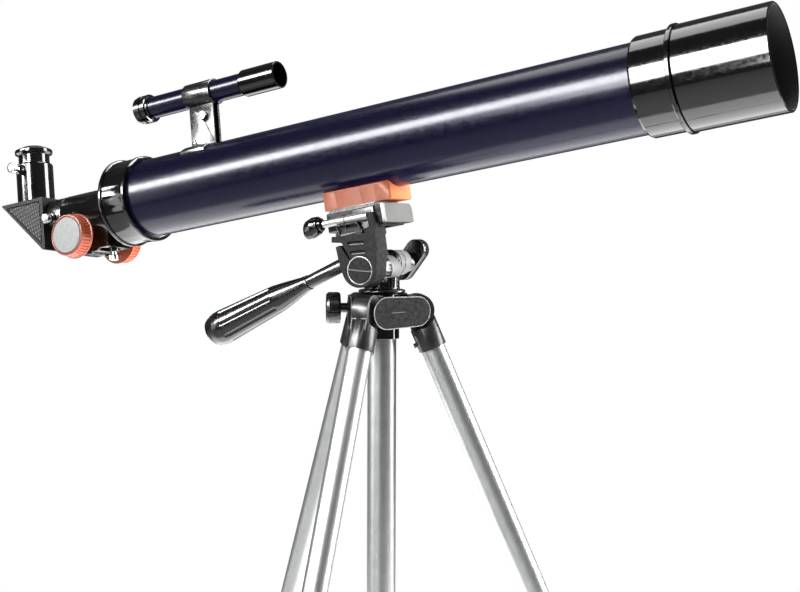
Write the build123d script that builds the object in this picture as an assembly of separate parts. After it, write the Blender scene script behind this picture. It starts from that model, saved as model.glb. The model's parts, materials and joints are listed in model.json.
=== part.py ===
from build123d import *
import math
import os

# A small refracting telescope on a photo tripod, in millimetres, +Z up.
# The stand frame has its origin on the telescope axis, straight above the column.
# The head frame is the stand frame pitched nose-up by TILT.
# The tube frame is the head frame rolled by ROLL: X runs along the tube towards
# the lens, Z towards the finder, and -Y towards the focus knob that faces the user.

# Angles of the set-up, in degrees
TILT = 9.6
ROLL = 6.0
LEG_AZIMUTHS = (-85.4, 34.6, 154.6)
LEG_SPREAD = 23.2
KNOB_AZIMUTH = 214.6
HANDLE_DROOP = 24.8

# Tripod
PIVOT_RADIUS = 25.0
PIVOT_DROP = 115.5
LEG_LENGTH = 882.0
UPPER_TUBE_RADIUS = 8.6
LOWER_TUBE_RADIUS = 7.1
TUBE_WALL = 0.9
UPPER_TUBE_END = 474.0
LOWER_TUBE_START = 384.0
CAP_RADIUS = 10.1
CAP_END = 29.0
ARM_RADIUS = 12.3
ARM_WIDTH = 20.2
TONGUE_WIDTH = 11.8
LEG_PIN_RADIUS = 2.5
GUIDE_RADIUS = 10.3
COLUMN_RADIUS = 9.0
COLUMN_LENGTH = 262.0
GUIDE_END = 388.0
CROWN_TOP = 103.4
CROWN_BOTTOM = 127.8

# Centre brace: a hub on the guide tube and three slotted arms
BRACE_REACH = 345.0
BRACE_OFFSET = 17.5
BRACE_OPEN = 50.0
HUB_PIVOT_RADIUS = 18.0
HUB_RADIUS = 14.4
BRACE_PIN = 2.0
BRACE_SLOT = 11.8
BRACE_SLOT_HALF = 3.0

# Pan and tilt head, in the head frame: (along, up)
PIVOT = (-14.0, -85.2)
CHEEK = (-28.0, -13.1)
HINGE_Y = -24.0
HINGE_Z = -48.5
HANDLE_Y = -6.0
PLATFORM_HALF = 21.0
LEVER_X = 0.6
LEVER_Z = -52.8
LEVER_LUG_Y = 12.0

# Optical tube
TUBE_RADIUS = 30.0
APERTURE_RADIUS = 25.0
SHIELD_RADIUS = 34.3
SHIELD_WALL = 1.6
SHIELD_SEAT_RADIUS = 32.0
SHIELD_SEAT_END = 232.5
SHIELD_END = 283.5
DRAW_RADIUS = 13.6
DRAW_BORE = 12.32
EYEPIECE_RADIUS = 12.25
NECK_RADIUS = 15.8
NECK_END = -291.0
PINION_X = -268.3
PINION_Z = -23.0
GEAR_MODULE = 0.8
GEAR_TEETH = 16
GEAR_PRESSURE = 20.0
EYEPIECE_X = -331.0
FINDER_Z = 70.9
FINDER_RADIUS = 8.5

# Clearances: a running fit, and open space beside a moving piece
RUNNING = 0.06
GAP = 0.3

AXIS_HEIGHT = PIVOT_DROP + LEG_LENGTH * math.cos(math.radians(LEG_SPREAD))
STAND = Pos(0, 0, AXIS_HEIGHT)
HEAD = STAND * Rot(0, -TILT, 0)
TUBE = HEAD * Rot(-ROLL, 0, 0)


def turned(*outline):
    """A solid turned about the X axis from points (along, radius)."""
    return revolve(Plane.XZ * make_face(Polyline(*outline, close=True)), Axis.X)


def ring(start, end, outer, inner):
    """A sleeve along X."""
    return turned((start, inner), (end, inner), (end, outer), (start, outer))


def turned_up(*outline):
    """A solid turned about the Z axis from points (radius, height)."""
    return revolve(Plane.XZ * make_face(Polyline(*outline, close=True)), Axis.Z)


def collar(low, high, outer, inner):
    """A sleeve along Z."""
    return turned_up((inner, low), (outer, low), (outer, high), (inner, high))


def rod(start, end, radius):
    """A round bar from one point to another."""
    start, end = Vector(*start), Vector(*end)
    bar = Cylinder(radius, (end - start).length, align=(Align.CENTER, Align.CENTER, Align.MIN))
    return Plane(origin=start, z_dir=end - start) * bar


def block(x, y, z):
    """A box between two limits on each axis."""
    limits = (x, y, z)
    middle = [(low + high) / 2 for low, high in limits]
    return Pos(*middle) * Box(*[high - low for low, high in limits])


def plate(points, y):
    """A flat profile in X and Z, extruded between two limits along Y."""
    start = Plane(origin=(0, y[0], 0), x_dir=(1, 0, 0), z_dir=(0, -1, 0))
    return extrude(start * make_face(Polyline(*points, close=True)), amount=y[0] - y[1])


def polar(radius, degrees):
    """A point on a circle."""
    angle = math.radians(degrees)
    return (radius * math.cos(angle), radius * math.sin(angle))


def fluted(radius, depth, count, height):
    """A disc with evenly spaced square ribs round its rim, standing on z = 0."""
    step = 360 / count
    points = []
    for rib in range(count):
        start = rib * step
        points += [polar(radius, start), polar(radius, start + step * 0.5)]
        points += [polar(radius - depth, start + step * 0.6), polar(radius - depth, start + step * 0.9)]
    return extrude(make_face(Polyline(*points, close=True)), amount=height)


def thumbscrew(shank, head_start, head_end, radius, head_radius):
    """A screw along +Z from its tip at z = 0, with a ribbed head."""
    stem = Cylinder(radius, head_start + 0.5, align=(Align.CENTER, Align.CENTER, Align.MIN))
    neck = Pos(0, 0, shank) * Cone(radius * 1.7, radius * 1.4, head_start - shank + 0.5,
                                   align=(Align.CENTER, Align.CENTER, Align.MIN))
    head = Pos(0, 0, head_start) * fluted(head_radius, 0.35, 18, head_end - head_start)
    return stem + neck + head


def leg_plane(azimuth):
    """A leg's own frame: origin at its pivot, Z down the leg, X outward across it."""
    spread, turn = math.radians(LEG_SPREAD), math.radians(azimuth)
    flat = Vector(math.cos(turn), math.sin(turn), 0)
    origin = flat * PIVOT_RADIUS + Vector(0, 0, AXIS_HEIGHT - PIVOT_DROP)
    down = flat * math.sin(spread) - Vector(0, 0, 1) * math.cos(spread)
    outward = flat * math.cos(spread) + Vector(0, 0, 1) * math.sin(spread)
    return Plane(origin=origin, x_dir=outward, z_dir=down)


def brace_pin_place():
    """Radius and drop below the leg pivot of the brace pin on a leg, with the legs open."""
    spread = math.radians(LEG_SPREAD)
    radius = PIVOT_RADIUS + BRACE_REACH * math.sin(spread) - BRACE_OFFSET * math.cos(spread)
    drop = BRACE_REACH * math.cos(spread) + BRACE_OFFSET * math.sin(spread)
    return radius, drop


def brace_length():
    """Distance between an arm's two pins, with the legs open."""
    return (brace_pin_place()[0] - HUB_PIVOT_RADIUS) / math.sin(math.radians(BRACE_OPEN))


def hub_drop():
    """How far the hub's pins are below the telescope axis, with the legs open."""
    rise = brace_length() * math.cos(math.radians(BRACE_OPEN))
    return PIVOT_DROP + brace_pin_place()[1] - rise


# ---- Optical tube -----------------------------------------------------------

def main_tube():
    """Thin metal tube between the focuser and the lens cell."""
    return ring(-212.9, 205.0, TUBE_RADIUS, TUBE_RADIUS - 1.0)


def lens_cell():
    """Front collar that holds the lens and the dew shield."""
    return turned(
        (195.5, TUBE_RADIUS + 0.05), (205.0, TUBE_RADIUS + 0.05), (205.0, 24.0), (208.0, 24.0),
        (208.0, APERTURE_RADIUS + 0.1), (232.0, APERTURE_RADIUS + 0.1), (232.0, SHIELD_SEAT_RADIUS),
        (223.0, SHIELD_SEAT_RADIUS), (223.0, 34.9), (222.5, 35.3), (220.5, 35.3), (220.0, 34.9),
        (220.0, 33.0),
        (197.0, 33.0), (195.5, 32.2))


def dew_shield():
    """Open tube in front of the lens, stepped where it grips the lens cell."""
    inner = SHIELD_RADIUS - SHIELD_WALL
    seat = SHIELD_SEAT_RADIUS + 0.04
    return turned(
        (223.05, seat), (SHIELD_SEAT_END, seat), (SHIELD_SEAT_END, inner), (SHIELD_END, inner),
        (SHIELD_END, SHIELD_RADIUS - 0.5),
        (SHIELD_END - 0.5, SHIELD_RADIUS), (224.0, SHIELD_RADIUS), (223.05, SHIELD_RADIUS - 0.6))


def lens(left, right, radius, left_bulge, right_bulge):
    """A glass disc between two edge positions; a bulge is the height of its curved face."""
    disc = rod((left - max(left_bulge, 0), 0, 0), (right + max(right_bulge, 0), 0, 0), radius)
    for edge, bulge, side in ((left, left_bulge, -1), (right, right_bulge, 1)):
        curve = (radius ** 2 + bulge ** 2) / (2 * abs(bulge))
        pole = edge + side * bulge
        if bulge > 0:
            disc &= Pos(pole - side * curve, 0, 0) * Sphere(curve)
        else:
            disc -= Pos(pole + side * curve, 0, 0) * Sphere(curve)
    return disc


def objective_lenses():
    """The achromatic pair: a flint behind and a crown in front."""
    flint = lens(208.4, 212.2, APERTURE_RADIUS, 0.3, -1.3)
    crown = lens(212.6, 215.6, APERTURE_RADIUS, 1.2, 0.9)
    return flint + crown


def focuser_housing():
    """Rear collar, its end wall, and the neck that guides the drawtube."""
    collar_part = turned(
        (-213.0, TUBE_RADIUS - 1.05), (-198.0, TUBE_RADIUS - 1.05), (-198.0, 27.0), (-228.0, 27.0),
        (-231.0, 24.0), (-231.0, DRAW_RADIUS + RUNNING), (-235.0, DRAW_RADIUS + RUNNING),
        (-235.0, 34.0), (-234.4, 34.5), (-232.6, 34.5), (-232.0, 34.0), (-232.0, 33.0), (-213.5, 33.0),
        (-213.0, 33.6), (-210.5, 33.6), (-210.0, 33.2), (-210.0, TUBE_RADIUS + 0.05),
        (-213.0, TUBE_RADIUS + 0.05))
    neck = ring(-234.0, NECK_END, NECK_RADIUS, DRAW_RADIUS + RUNNING)
    flare = turned((-234.5, 15.0), (-234.5, 22.0), (-240.0, NECK_RADIUS), (-240.0, 15.0))
    gearbox = block((-288.0, -246.0), (-13.0, 13.0), (-33.0, -9.0))
    rear_wedge = plate([(-288.0, -14.0), (-292.0, -14.0), (-288.0, -26.0)], (-13.0, 13.0))
    lock_boss = rod((-252.0, 0, -30.0), (-252.0, 0, -35.5), 4.5)
    shaft_bosses = rod((PINION_X, -16.0, PINION_Z), (PINION_X, 16.0, PINION_Z), 7.0)
    body = neck + flare + gearbox + rear_wedge + lock_boss + shaft_bosses
    body -= rod((-295.0, 0, 0), (-230.0, 0, 0), DRAW_RADIUS + RUNNING)
    body -= block((-293.0, -233.0), (-3.5, 3.5), (-18.3, 0))
    body -= rod((PINION_X, -9.0, PINION_Z), (PINION_X, 9.0, PINION_Z), 8.0)
    body -= rod((PINION_X, -20.0, PINION_Z), (PINION_X, 20.0, PINION_Z), 2.0 + RUNNING)
    body -= block((-280.0, -256.0), (-9.0, 9.0), (-34.0, -18.0))
    body -= rod((-252.0, 0, -10.0), (-252.0, 0, -40.0), 1.6)
    slot = block((-236.0, -229.0), (-3.5, 3.5), (-18.3, 0))
    return collar_part - slot + body


def pinion_cover():
    """Plate under the gearbox, with its two screws as separate solids."""
    cover = block((-281.0, -257.5), (-12.0, 12.0), (-34.8, -33.05))
    holes = [rod((-268.0, side * 10.5, -40.0), (-268.0, side * 10.5, -25.0), 1.0) for side in (-1, 1)]
    heads = [rod((-268.0, side * 10.5, -36.2), (-268.0, side * 10.5, -34.85), 1.9) for side in (-1, 1)]
    for hole in holes:
        cover -= hole
    return Compound(children=[cover] + heads)


def rack_pitch():
    """Distance between rack teeth."""
    return math.pi * GEAR_MODULE


def rack_line():
    """Height of the rack's pitch line, which the pinion's pitch circle touches."""
    return PINION_Z + GEAR_MODULE * GEAR_TEETH / 2


def rack():
    """Toothed strip under the drawtube, with a gap centred over the pinion."""
    pitch, line = rack_pitch(), rack_line()
    lean = GEAR_MODULE * math.tan(math.radians(GEAR_PRESSURE))
    half = pitch / 4 - 0.06
    root = line + GEAR_MODULE * 1.1
    tip = line - GEAR_MODULE * 0.9
    points = [(-277.5, -12.9), (-277.5, root)]
    first, last = -3, 23
    for tooth in range(first, last):
        centre = PINION_X + (tooth + 0.5) * pitch
        points += [(centre - half - lean, root), (centre - half + lean * 0.9, tip)]
        points += [(centre + half - lean * 0.9, tip), (centre + half + lean, root)]
    points += [(PINION_X + last * pitch + 1.0, root), (PINION_X + last * pitch + 1.0, -12.9)]
    return plate(points, (-3.0, 3.0))


def drawtube():
    """Sliding tube with a moulded rack and a collar for the diagonal."""
    tube = turned(
        (-306.5, DRAW_BORE), (-196.0, DRAW_BORE), (-196.0, DRAW_RADIUS), (-292.0, DRAW_RADIUS),
        (-292.0, 15.2), (-293.0, 15.6), (-305.5, 15.6), (-306.5, 15.0))
    boss = rod(screw_point(-299.5, 14.0), screw_point(-299.5, 18.5), 4.0)
    tube += boss + rack()
    tube -= rod((-307.0, 0, 0), (-190.0, 0, 0), DRAW_BORE)
    return tube - rod(screw_point(-299.5, 10.0), screw_point(-299.5, 20.0), 1.5 + RUNNING)


def screw_point(x, radius):
    """A point on the drawtube screw's line, which leans a little below the side."""
    across, up = polar(radius, 188.0)
    return (x, across, up)


def drawtube_thumbscrew():
    """Chrome screw that clamps the diagonal."""
    tip = Vector(*screw_point(-299.5, EYEPIECE_RADIUS + GAP))
    out = Vector(*screw_point(0, 1.0))
    place = Plane(origin=tip, z_dir=out)
    return place * thumbscrew(6.6, 9.2, 13.6, 1.5, 3.9)


def pinion_gear():
    """Outline of the involute pinion, centred on the origin, with one tooth on +Y."""
    pitch_radius = GEAR_MODULE * GEAR_TEETH / 2
    pressure = math.radians(GEAR_PRESSURE)
    base = pitch_radius * math.cos(pressure)
    tip, root = pitch_radius + GEAR_MODULE * 0.9, pitch_radius - GEAR_MODULE * 1.15
    half_tooth = math.pi / (2 * GEAR_TEETH) - 0.012
    inv_pitch = math.tan(pressure) - pressure
    flank = [(root, half_tooth + inv_pitch)]
    for step in range(5):
        radius = base + (tip - base) * step / 4
        angle = math.acos(base / radius)
        flank.append((radius, half_tooth + inv_pitch - (math.tan(angle) - angle)))
    points = []
    for tooth in range(GEAR_TEETH):
        middle = math.pi / 2 + tooth * 2 * math.pi / GEAR_TEETH
        rise = [(radius, middle - half) for radius, half in flank]
        fall = [(radius, middle + half) for radius, half in reversed(flank)]
        points += [polar(radius, math.degrees(angle)) for radius, angle in rise + fall]
    return make_face(Polyline(*points, close=True))


def focus_shaft():
    """Cross shaft with the pinion that drives the rack."""
    shaft = rod((PINION_X, -33.5, PINION_Z), (PINION_X, 33.5, PINION_Z), 2.0)
    seat = Plane(origin=(PINION_X, 4.0, PINION_Z), x_dir=(1, 0, 0), z_dir=(0, -1, 0))
    return shaft + extrude(seat * pinion_gear(), amount=8.0)


def focus_knob(side):
    """Ribbed knob, a little narrower at its outer face, with a recess for its cap."""
    blank = fluted(17.6, 0.7, 40, 11.3)
    taper = turned_up((0, 0), (17.6, 0), (17.6, 1.2), (16.1, 10.6), (15.5, 11.3), (0, 11.3))
    hub = Pos(0, 0, -5.6) * Cylinder(6.5, 6.0, align=(Align.CENTER, Align.CENTER, Align.MIN))
    knob = (blank & taper) + hub
    knob -= Pos(0, 0, 9.9) * Cylinder(14.0, 5.0, align=(Align.CENTER, Align.CENTER, Align.MIN))
    knob -= Pos(0, 0, -6) * Cylinder(2.0, 16.0, align=(Align.CENTER, Align.CENTER, Align.MIN))
    place = Plane(origin=(PINION_X, side * 23.7, PINION_Z), z_dir=(0, side, 0))
    return place * knob


def knob_cap(side):
    """Slightly domed metal-look disc in the face of a focus knob."""
    cap = turned_up((0, 10.0), (13.9, 10.0), (13.9, 11.2), (13.4, 11.5), (7.0, 11.9), (0, 12.0))
    place = Plane(origin=(PINION_X, side * 23.7, PINION_Z), z_dir=(0, side, 0))
    return place * (cap - Pos(0, 0, 9) * Cylinder(2.05, 1.9))


def focus_lock_screw():
    """Chrome screw under the gearbox that locks the focus."""
    place = Plane(origin=(-252.0, 0, -18.9), z_dir=(0, 0, -1))
    return place * thumbscrew(17.2, 19.5, 24.0, 1.5, 3.6)


# ---- Diagonal and eyepiece --------------------------------------------------

DIAGONAL = [(-354.0, 17.0), (-309.5, 17.0), (-309.5, -26.0), (-312.0, -26.0), (-354.0, 16.0)]


def diagonal_body():
    """Triangular housing that turns the light up through a right angle."""
    shell = plate(DIAGONAL, (-16.0, 16.0))
    shell += ring(-310.0, -286.0, EYEPIECE_RADIUS, 10.0)
    shell -= rod((-320.0, 0, 0), (-280.0, 0, 0), 10.0)
    path = rod((-360.0, 0, 0), (-300.0, 0, 0), 10.0) + rod((EYEPIECE_X, 0, -30), (EYEPIECE_X, 0, 20), 10.8)
    light = plate([(-351.0, 20.0), (-311.0, 20.0), (-311.0, -20.0)], (-13.0, 13.0))
    shell -= path & light
    shell -= mirror_slab(0.3)
    for side in (-1, 1):
        shell -= panel(side, 0.05)
    return shell


def mirror_slab(extra):
    """Thin plate at 45 degrees behind the light path."""
    thick = Box(3.0 + extra, 27.0 + extra, 40.0 + extra)
    return Pos(EYEPIECE_X - 1.1, 0, -1.1) * Rot(0, -45, 0) * thick


def panel(side, extra):
    """Three-cornered side plate, inset in the housing's flank."""
    points = [
        (-349.5 - extra, 14.0 + extra), (-312.5 + extra, 14.0 + extra), (-312.5 + extra, -22.0 - extra)]
    inner, outer = side * (15.0 - extra), side * (15.8 + extra * 20)
    return plate(points, (min(inner, outer), max(inner, outer)))


def eyepiece_holder():
    """Round socket on top of the diagonal, with a boss for its clamp screw."""
    holder = turned_up(
        (EYEPIECE_RADIUS + RUNNING, 17.05), (14.9, 17.05), (14.9, 48.0), (14.4, 49.0),
        (EYEPIECE_RADIUS + RUNNING, 49.0))
    holder += rod((0, -13.5, 43.5), (0, -18.6, 43.5), 4.2)
    holder -= Pos(0, 0, 35) * Cylinder(EYEPIECE_RADIUS + RUNNING, 60)
    holder -= rod((0, -5, 43.5), (0, -30, 43.5), 1.5 + RUNNING)
    return Pos(EYEPIECE_X, 0, 0) * holder


def holder_thumbscrew():
    """Chrome screw that clamps the eyepiece."""
    place = Plane(origin=(EYEPIECE_X, -(EYEPIECE_RADIUS + GAP), 43.5), z_dir=(0, -1, 0))
    return place * thumbscrew(6.8, 10.0, 15.0, 1.5, 4.2)


def eyepiece_body():
    """Barrel, waist and domed top of the eyepiece."""
    profile = turned_up(
        (10.6, 24.0), (EYEPIECE_RADIUS, 24.0), (EYEPIECE_RADIUS, 49.3), (12.9, 49.3), (12.9, 50.3),
        (12.5, 50.6), (12.5, 57.6), (14.7, 58.6), (14.7, 61.0), (12.0, 63.2), (7.5, 64.2), (5.0, 62.4),
        (5.0, 60.6), (8.6, 60.6), (8.6, 55.0), (10.6, 55.0))
    return Pos(EYEPIECE_X, 0, 0) * profile


def eyepiece_lenses():
    """Field lens at the bottom and eye lens at the top."""
    field = turned_up((0, 26.0), (10.5, 27.0), (10.5, 29.0), (0, 29.0))
    eye = turned_up((0, 57.0), (8.5, 57.0), (8.5, 58.6), (4.5, 59.9), (0, 60.3))
    return Pos(EYEPIECE_X, 0, 0) * Compound(children=[field, eye])


# ---- Finder -----------------------------------------------------------------

def finder_tube():
    """Slim coloured tube of the finder."""
    return Pos(0, 0, FINDER_Z) * ring(-209.0, -100.0, FINDER_RADIUS, FINDER_RADIUS - 1.0)


def finder_end_cells():
    """Front hood and ringed eye cell, both black."""
    hood = turned(
        (-113.5, FINDER_RADIUS + 0.05), (-100.0, FINDER_RADIUS + 0.05), (-100.0, 7.4), (-98.0, 7.4),
        (-98.0, 8.9), (-81.5, 8.9), (-81.5, 9.9), (-82.0, 10.2), (-112.5, 10.2), (-113.5, 9.6))
    eye = turned(
        (-214.6, 4.0), (-203.0, 4.0), (-203.0, 7.4), (-208.95, 7.4), (-208.95, FINDER_RADIUS + 0.05),
        (-201.5, FINDER_RADIUS + 0.05), (-201.5, 9.6), (-203.2, 9.6), (-203.6, 11.0), (-206.6, 11.0),
        (-207.0, 10.2), (-208.4, 10.2), (-208.8, 11.0), (-211.8, 11.0), (-212.2, 10.3), (-214.6, 10.3))
    return Pos(0, 0, FINDER_Z) * Compound(children=[hood, eye])


def finder_lenses():
    """Objective and eye lens of the finder."""
    front = lens(-104.0, -102.0, 7.35, 0.4, 0.6)
    rear = lens(-206.0, -204.6, 3.95, 0.3, 0.3)
    return Pos(0, 0, FINDER_Z) * Compound(children=[front, rear])


def finder_bracket():
    """Bent strip: a clip round the finder, two cheeks, and feet on the tube."""
    start, end = -166.0, -141.0
    clip = Pos(0, 0, FINDER_Z) * ring(start, end, FINDER_RADIUS + 1.6, FINDER_RADIUS + 0.05)
    clip -= block((start - 1, end + 1), (-2.6, 2.6), (FINDER_Z - 12, FINDER_Z - 4))
    cheeks = []
    for side in (-1, 1):
        inner, outer = side * 2.6, side * 4.2
        sides = (min(inner, outer), max(inner, outer))
        cheek = block((start + 2.0, end - 1.0), sides, (30.6, FINDER_Z - 8.5))
        cheeks.append(cheek)
    wrap = ring(start + 2.0, end - 1.0, TUBE_RADIUS + 1.6, TUBE_RADIUS + 0.05)
    feet = []
    for side in (-1, 1):
        inner, outer = side * 2.6, side * 19.5
        feet.append(wrap & block((start, end), (min(inner, outer), max(inner, outer)), (15.0, 40.0)))
    bracket = clip + cheeks[0] + cheeks[1] + feet[0] + feet[1]
    bracket -= rod((-151.0, -12.0, 53.0), (-151.0, 12.0, 53.0), 1.55)
    for side in (-1, 1):
        bracket -= rod(foot_point(side, 25.0), foot_point(side, 36.0), 1.55)
    return bracket


def foot_point(side, radius):
    """A point on the line of a finder foot bolt, at a distance from the tube axis."""
    across, up = polar(radius, 90.0 - side * 26.0)
    return (-152.0, across, up)


def hex_nut(size, height, hole):
    """A six-sided nut on z = 0, given across its flats."""
    nut = extrude(RegularPolygon(size / math.sqrt(3), 6), amount=height)
    return nut - Cylinder(hole, height * 4)


def finder_fasteners():
    """Clamp screw with its nut, and a stud with its nut at each foot."""
    screw = rod((-151.0, -5.0, 53.0), (-151.0, 8.5, 53.0), 1.5)
    screw += rod((-151.0, -4.25, 53.0), (-151.0, -7.4, 53.0), 3.3)
    screw -= block((-155.0, -147.0), (-7.5, -6.6), (52.5, 53.5))
    clamp_nut = Plane(origin=(-151.0, 4.25, 53.0), z_dir=(0, 1, 0)) * hex_nut(5.5, 2.4, 1.5)
    pieces = [screw, clamp_nut]
    for side in (-1, 1):
        outward = Vector(*foot_point(side, 1.0)) + Vector(152.0, 0, 0)
        seat = Plane(origin=foot_point(side, 31.75), z_dir=outward)
        pieces.append(seat * hex_nut(5.5, 2.6, 1.5))
        pieces.append(rod(foot_point(side, 31.0), foot_point(side, 36.2), 1.5))
    return Compound(children=pieces)


# ---- Mount block and platform, in the head frame ------------------------------

def mount_block():
    """Moulded block that carries the tube in a round saddle."""
    body = block((-45.5, 9.5), (-15.5, 15.5), (-38.9, -24.5))
    body = chamfer(body.edges().filter_by(Axis.Z), 1.0)
    body -= rod((-60, 0, 0), (30, 0, 0), TUBE_RADIUS + 0.05)
    grooves = [block((x - 0.4, x + 0.4), (-16.0, -15.2), (-38.0, -27.0)) for x in (-34.0, -14.0, -2.0)]
    for groove in grooves:
        body -= groove
    return body - rod((-20.0, 0, -40.0), (-20.0, 0, -32.5), 3.2)


def quick_release_plate():
    """Ridged plate between the block and the platform."""
    flange = block((-41.5, -3.0), (-16.5, 16.5), (-41.6, -38.95))
    boss = block((-36.0, -8.0), (-13.0, 13.0), (-46.0, -41.0))
    body = flange + boss
    for index in range(13):
        x = -40.2 + index * 3.0
        body -= block((x, x + 1.0), (-17.0, -16.0), (-41.0, -39.5))
    body -= rod((-20.0, 0, -50.0), (-20.0, 0, -30.0), 3.3)
    return body - rod((-20.0, 0, -47.0), (-20.0, 0, -43.4), 8.2)


def camera_screw():
    """Quarter-inch screw from the plate into the block."""
    head = rod((-20.0, 0, -46.0), (-20.0, 0, -43.5), 7.9)
    slot = block((-27.0, -13.0), (-0.7, 0.7), (-46.5, -45.0))
    return head + rod((-20.0, 0, -45.0), (-20.0, 0, -33.0), 3.175) - slot


def platform():
    """Top of the head: a tray for the plate with half of the side hinge."""
    tray = block((-41.0, -2.9), (-PLATFORM_HALF, PLATFORM_HALF), (-55.3, -41.7))
    tray = chamfer(tray.edges().filter_by(Axis.X), 0.8)
    tray -= block((-36.3, -7.7), (-13.3, 13.3), (-46.4, -40.0))
    tray -= block((-37.0, -7.0), (-17.0, 17.0), (-56.0, -52.5))
    knuckle = rod((-23.9, HINGE_Y, HINGE_Z), (-7.0, HINGE_Y, HINGE_Z), 2.7)
    web = block((-23.9, -7.0), (HINGE_Y, -20.5), (HINGE_Z - 1.2, HINGE_Z + 1.2))
    body = tray + knuckle + web
    for middle in (-LEVER_LUG_Y, LEVER_LUG_Y):
        body += block((-6.0, LEVER_X), (middle - 2.5, middle + 2.5), (-54.8, -51.0))
        body += rod((LEVER_X, middle - 2.5, LEVER_Z), (LEVER_X, middle + 2.5, LEVER_Z), 1.9)
    body -= rod((LEVER_X, -20.0, LEVER_Z), (LEVER_X, 20.0, LEVER_Z), 1.1 + RUNNING)
    return body - rod((-50, HINGE_Y, HINGE_Z), (0, HINGE_Y, HINGE_Z), 1.5 + RUNNING)


def release_lever():
    """Flap across the front that lets the plate go."""
    profile = [
        (-1.7, -54.8), (4.6, -54.8), (5.2, -53.0), (5.2, -42.6), (4.0, -41.0), (-0.6, -41.0), (-1.7, -42.0)]
    flap = plate(profile, (-PLATFORM_HALF, PLATFORM_HALF))
    for middle in (-LEVER_LUG_Y, LEVER_LUG_Y):
        flap -= block((-3.0, 3.2), (middle - 2.8, middle + 2.8), (-60.0, -50.2))
        flap += rod((LEVER_X, middle - 4.0, LEVER_Z), (LEVER_X, middle + 4.0, LEVER_Z), 1.1)
    return flap


def side_tilt_knob():
    """Hinge pin with a rounded lever at its rear end."""
    pin = rod((-50.0, HINGE_Y, HINGE_Z), (-7.4, HINGE_Y, HINGE_Z), 1.5)
    hub = rod((-46.7, HINGE_Y, HINGE_Z), (-52.5, HINGE_Y, HINGE_Z), 4.6)
    lever = rod((-51.0, HINGE_Y, HINGE_Z), (-61.0, HINGE_Y + 1.0, HINGE_Z - 2.0), 4.4)
    tip = Pos(-61.0, HINGE_Y + 1.0, HINGE_Z - 2.0) * Sphere(4.4)
    fin = block((-61.0, -50.0), (HINGE_Y - 1.4, HINGE_Y + 1.4), (HINGE_Z - 8.0, HINGE_Z + 4.0))
    return pin + hub + lever + tip + fin


# ---- Tilt bracket, handle and pan block ---------------------------------------

def tilt_bracket():
    """Cheek that swings on the tilt axle and carries the platform hinge."""
    along, up = PIVOT
    cheek = plate([
        (-37.0, -55.7), (-37.0, -62.3), (-30.2, -62.3), (-19.2, -78.0), (-20.8, -79.8), (-31.7, -65.2),
        (-36.0, -65.6), (-28.0, -84.0), (along, up - 6), (along + 12.4, up), (0.0, -58.0),
        (0.0, -55.7)], CHEEK)
    cheek += rod((along, CHEEK[0], up), (along, CHEEK[1], up), 13.2)
    shelf = block((-37.0, 0.0), (CHEEK[0], -8.0), (-62.3, -55.7))
    knuckle = rod((-46.4, HINGE_Y, HINGE_Z), (-24.2, HINGE_Y, HINGE_Z), 2.7)
    web = block((-37.0, -24.2), (HINGE_Y - 2.7, HINGE_Y + 2.4), (-57.0, HINGE_Z))
    body = cheek + shelf + knuckle + web
    body += handle_socket()
    body -= rod((along, CHEEK[0] - 1, up), (along, CHEEK[0] + 3.2, up), 9.9)
    body -= rod((along, -40, up), (along, 0, up), 4.0)
    body -= rod((-50, HINGE_Y, HINGE_Z), (0, HINGE_Y, HINGE_Z), 1.5 + RUNNING)
    body -= block((-24.0, -9.0), (CHEEK[0] - 1, CHEEK[0] + 0.8), (-67.3, -65.5))
    body -= block((-22.0, -9.0), (CHEEK[0] - 1, CHEEK[0] + 0.8), (-73.4, -71.6))
    return body - handle_bore()


def handle_line(distance):
    """A point on the handle's line in the stand frame, at a distance from its entry."""
    droop = math.radians(HANDLE_DROOP)
    return (-30.0 - distance * math.cos(droop), HANDLE_Y, -84.2 - distance * math.sin(droop))


def handle_socket():
    """Boss on the inner side of the cheek for the handle rod, in the head frame."""
    boss = rod(handle_line(-2.0), handle_line(-13.0), 6.6)
    bridge = block((-26.0, -19.0), (CHEEK[1] - 1.0, HANDLE_Y), (-86.0, -74.0))
    in_head = Rot(0, TILT, 0) * (boss + bridge)
    along, up = PIVOT
    return in_head - rod((along, CHEEK[1], up), (along, 20, up), 10.5)


def handle_bore():
    """Hole for the end of the handle rod, in the head frame."""
    return Rot(0, TILT, 0) * rod(handle_line(5.0), handle_line(-10.0), 3.9 + RUNNING)


def tilt_axle():
    """Axle with a large slotted head in the cheek."""
    along, up = PIVOT
    axle = rod((along, CHEEK[0] + 3.0, up), (along, 6.0, up), 3.95)
    head = Plane(origin=(along, CHEEK[0] + 3.1, up), z_dir=(0, -1, 0)) * Cone(
        9.6, 9.1, 5.4, align=(Align.CENTER, Align.CENTER, Align.MIN))
    slot = block((along - 10, along + 10), (CHEEK[0] - 3.0, CHEEK[0] - 1.4), (up - 0.7, up + 0.7))
    return axle + head - slot


def handle_rod():
    """Steel rod of the pan handle, stepped down where it enters the socket."""
    body = rod(handle_line(-9.0), handle_line(0.5), 3.9)
    return body + rod(handle_line(-1.6), handle_line(52.0), 4.9)


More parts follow.
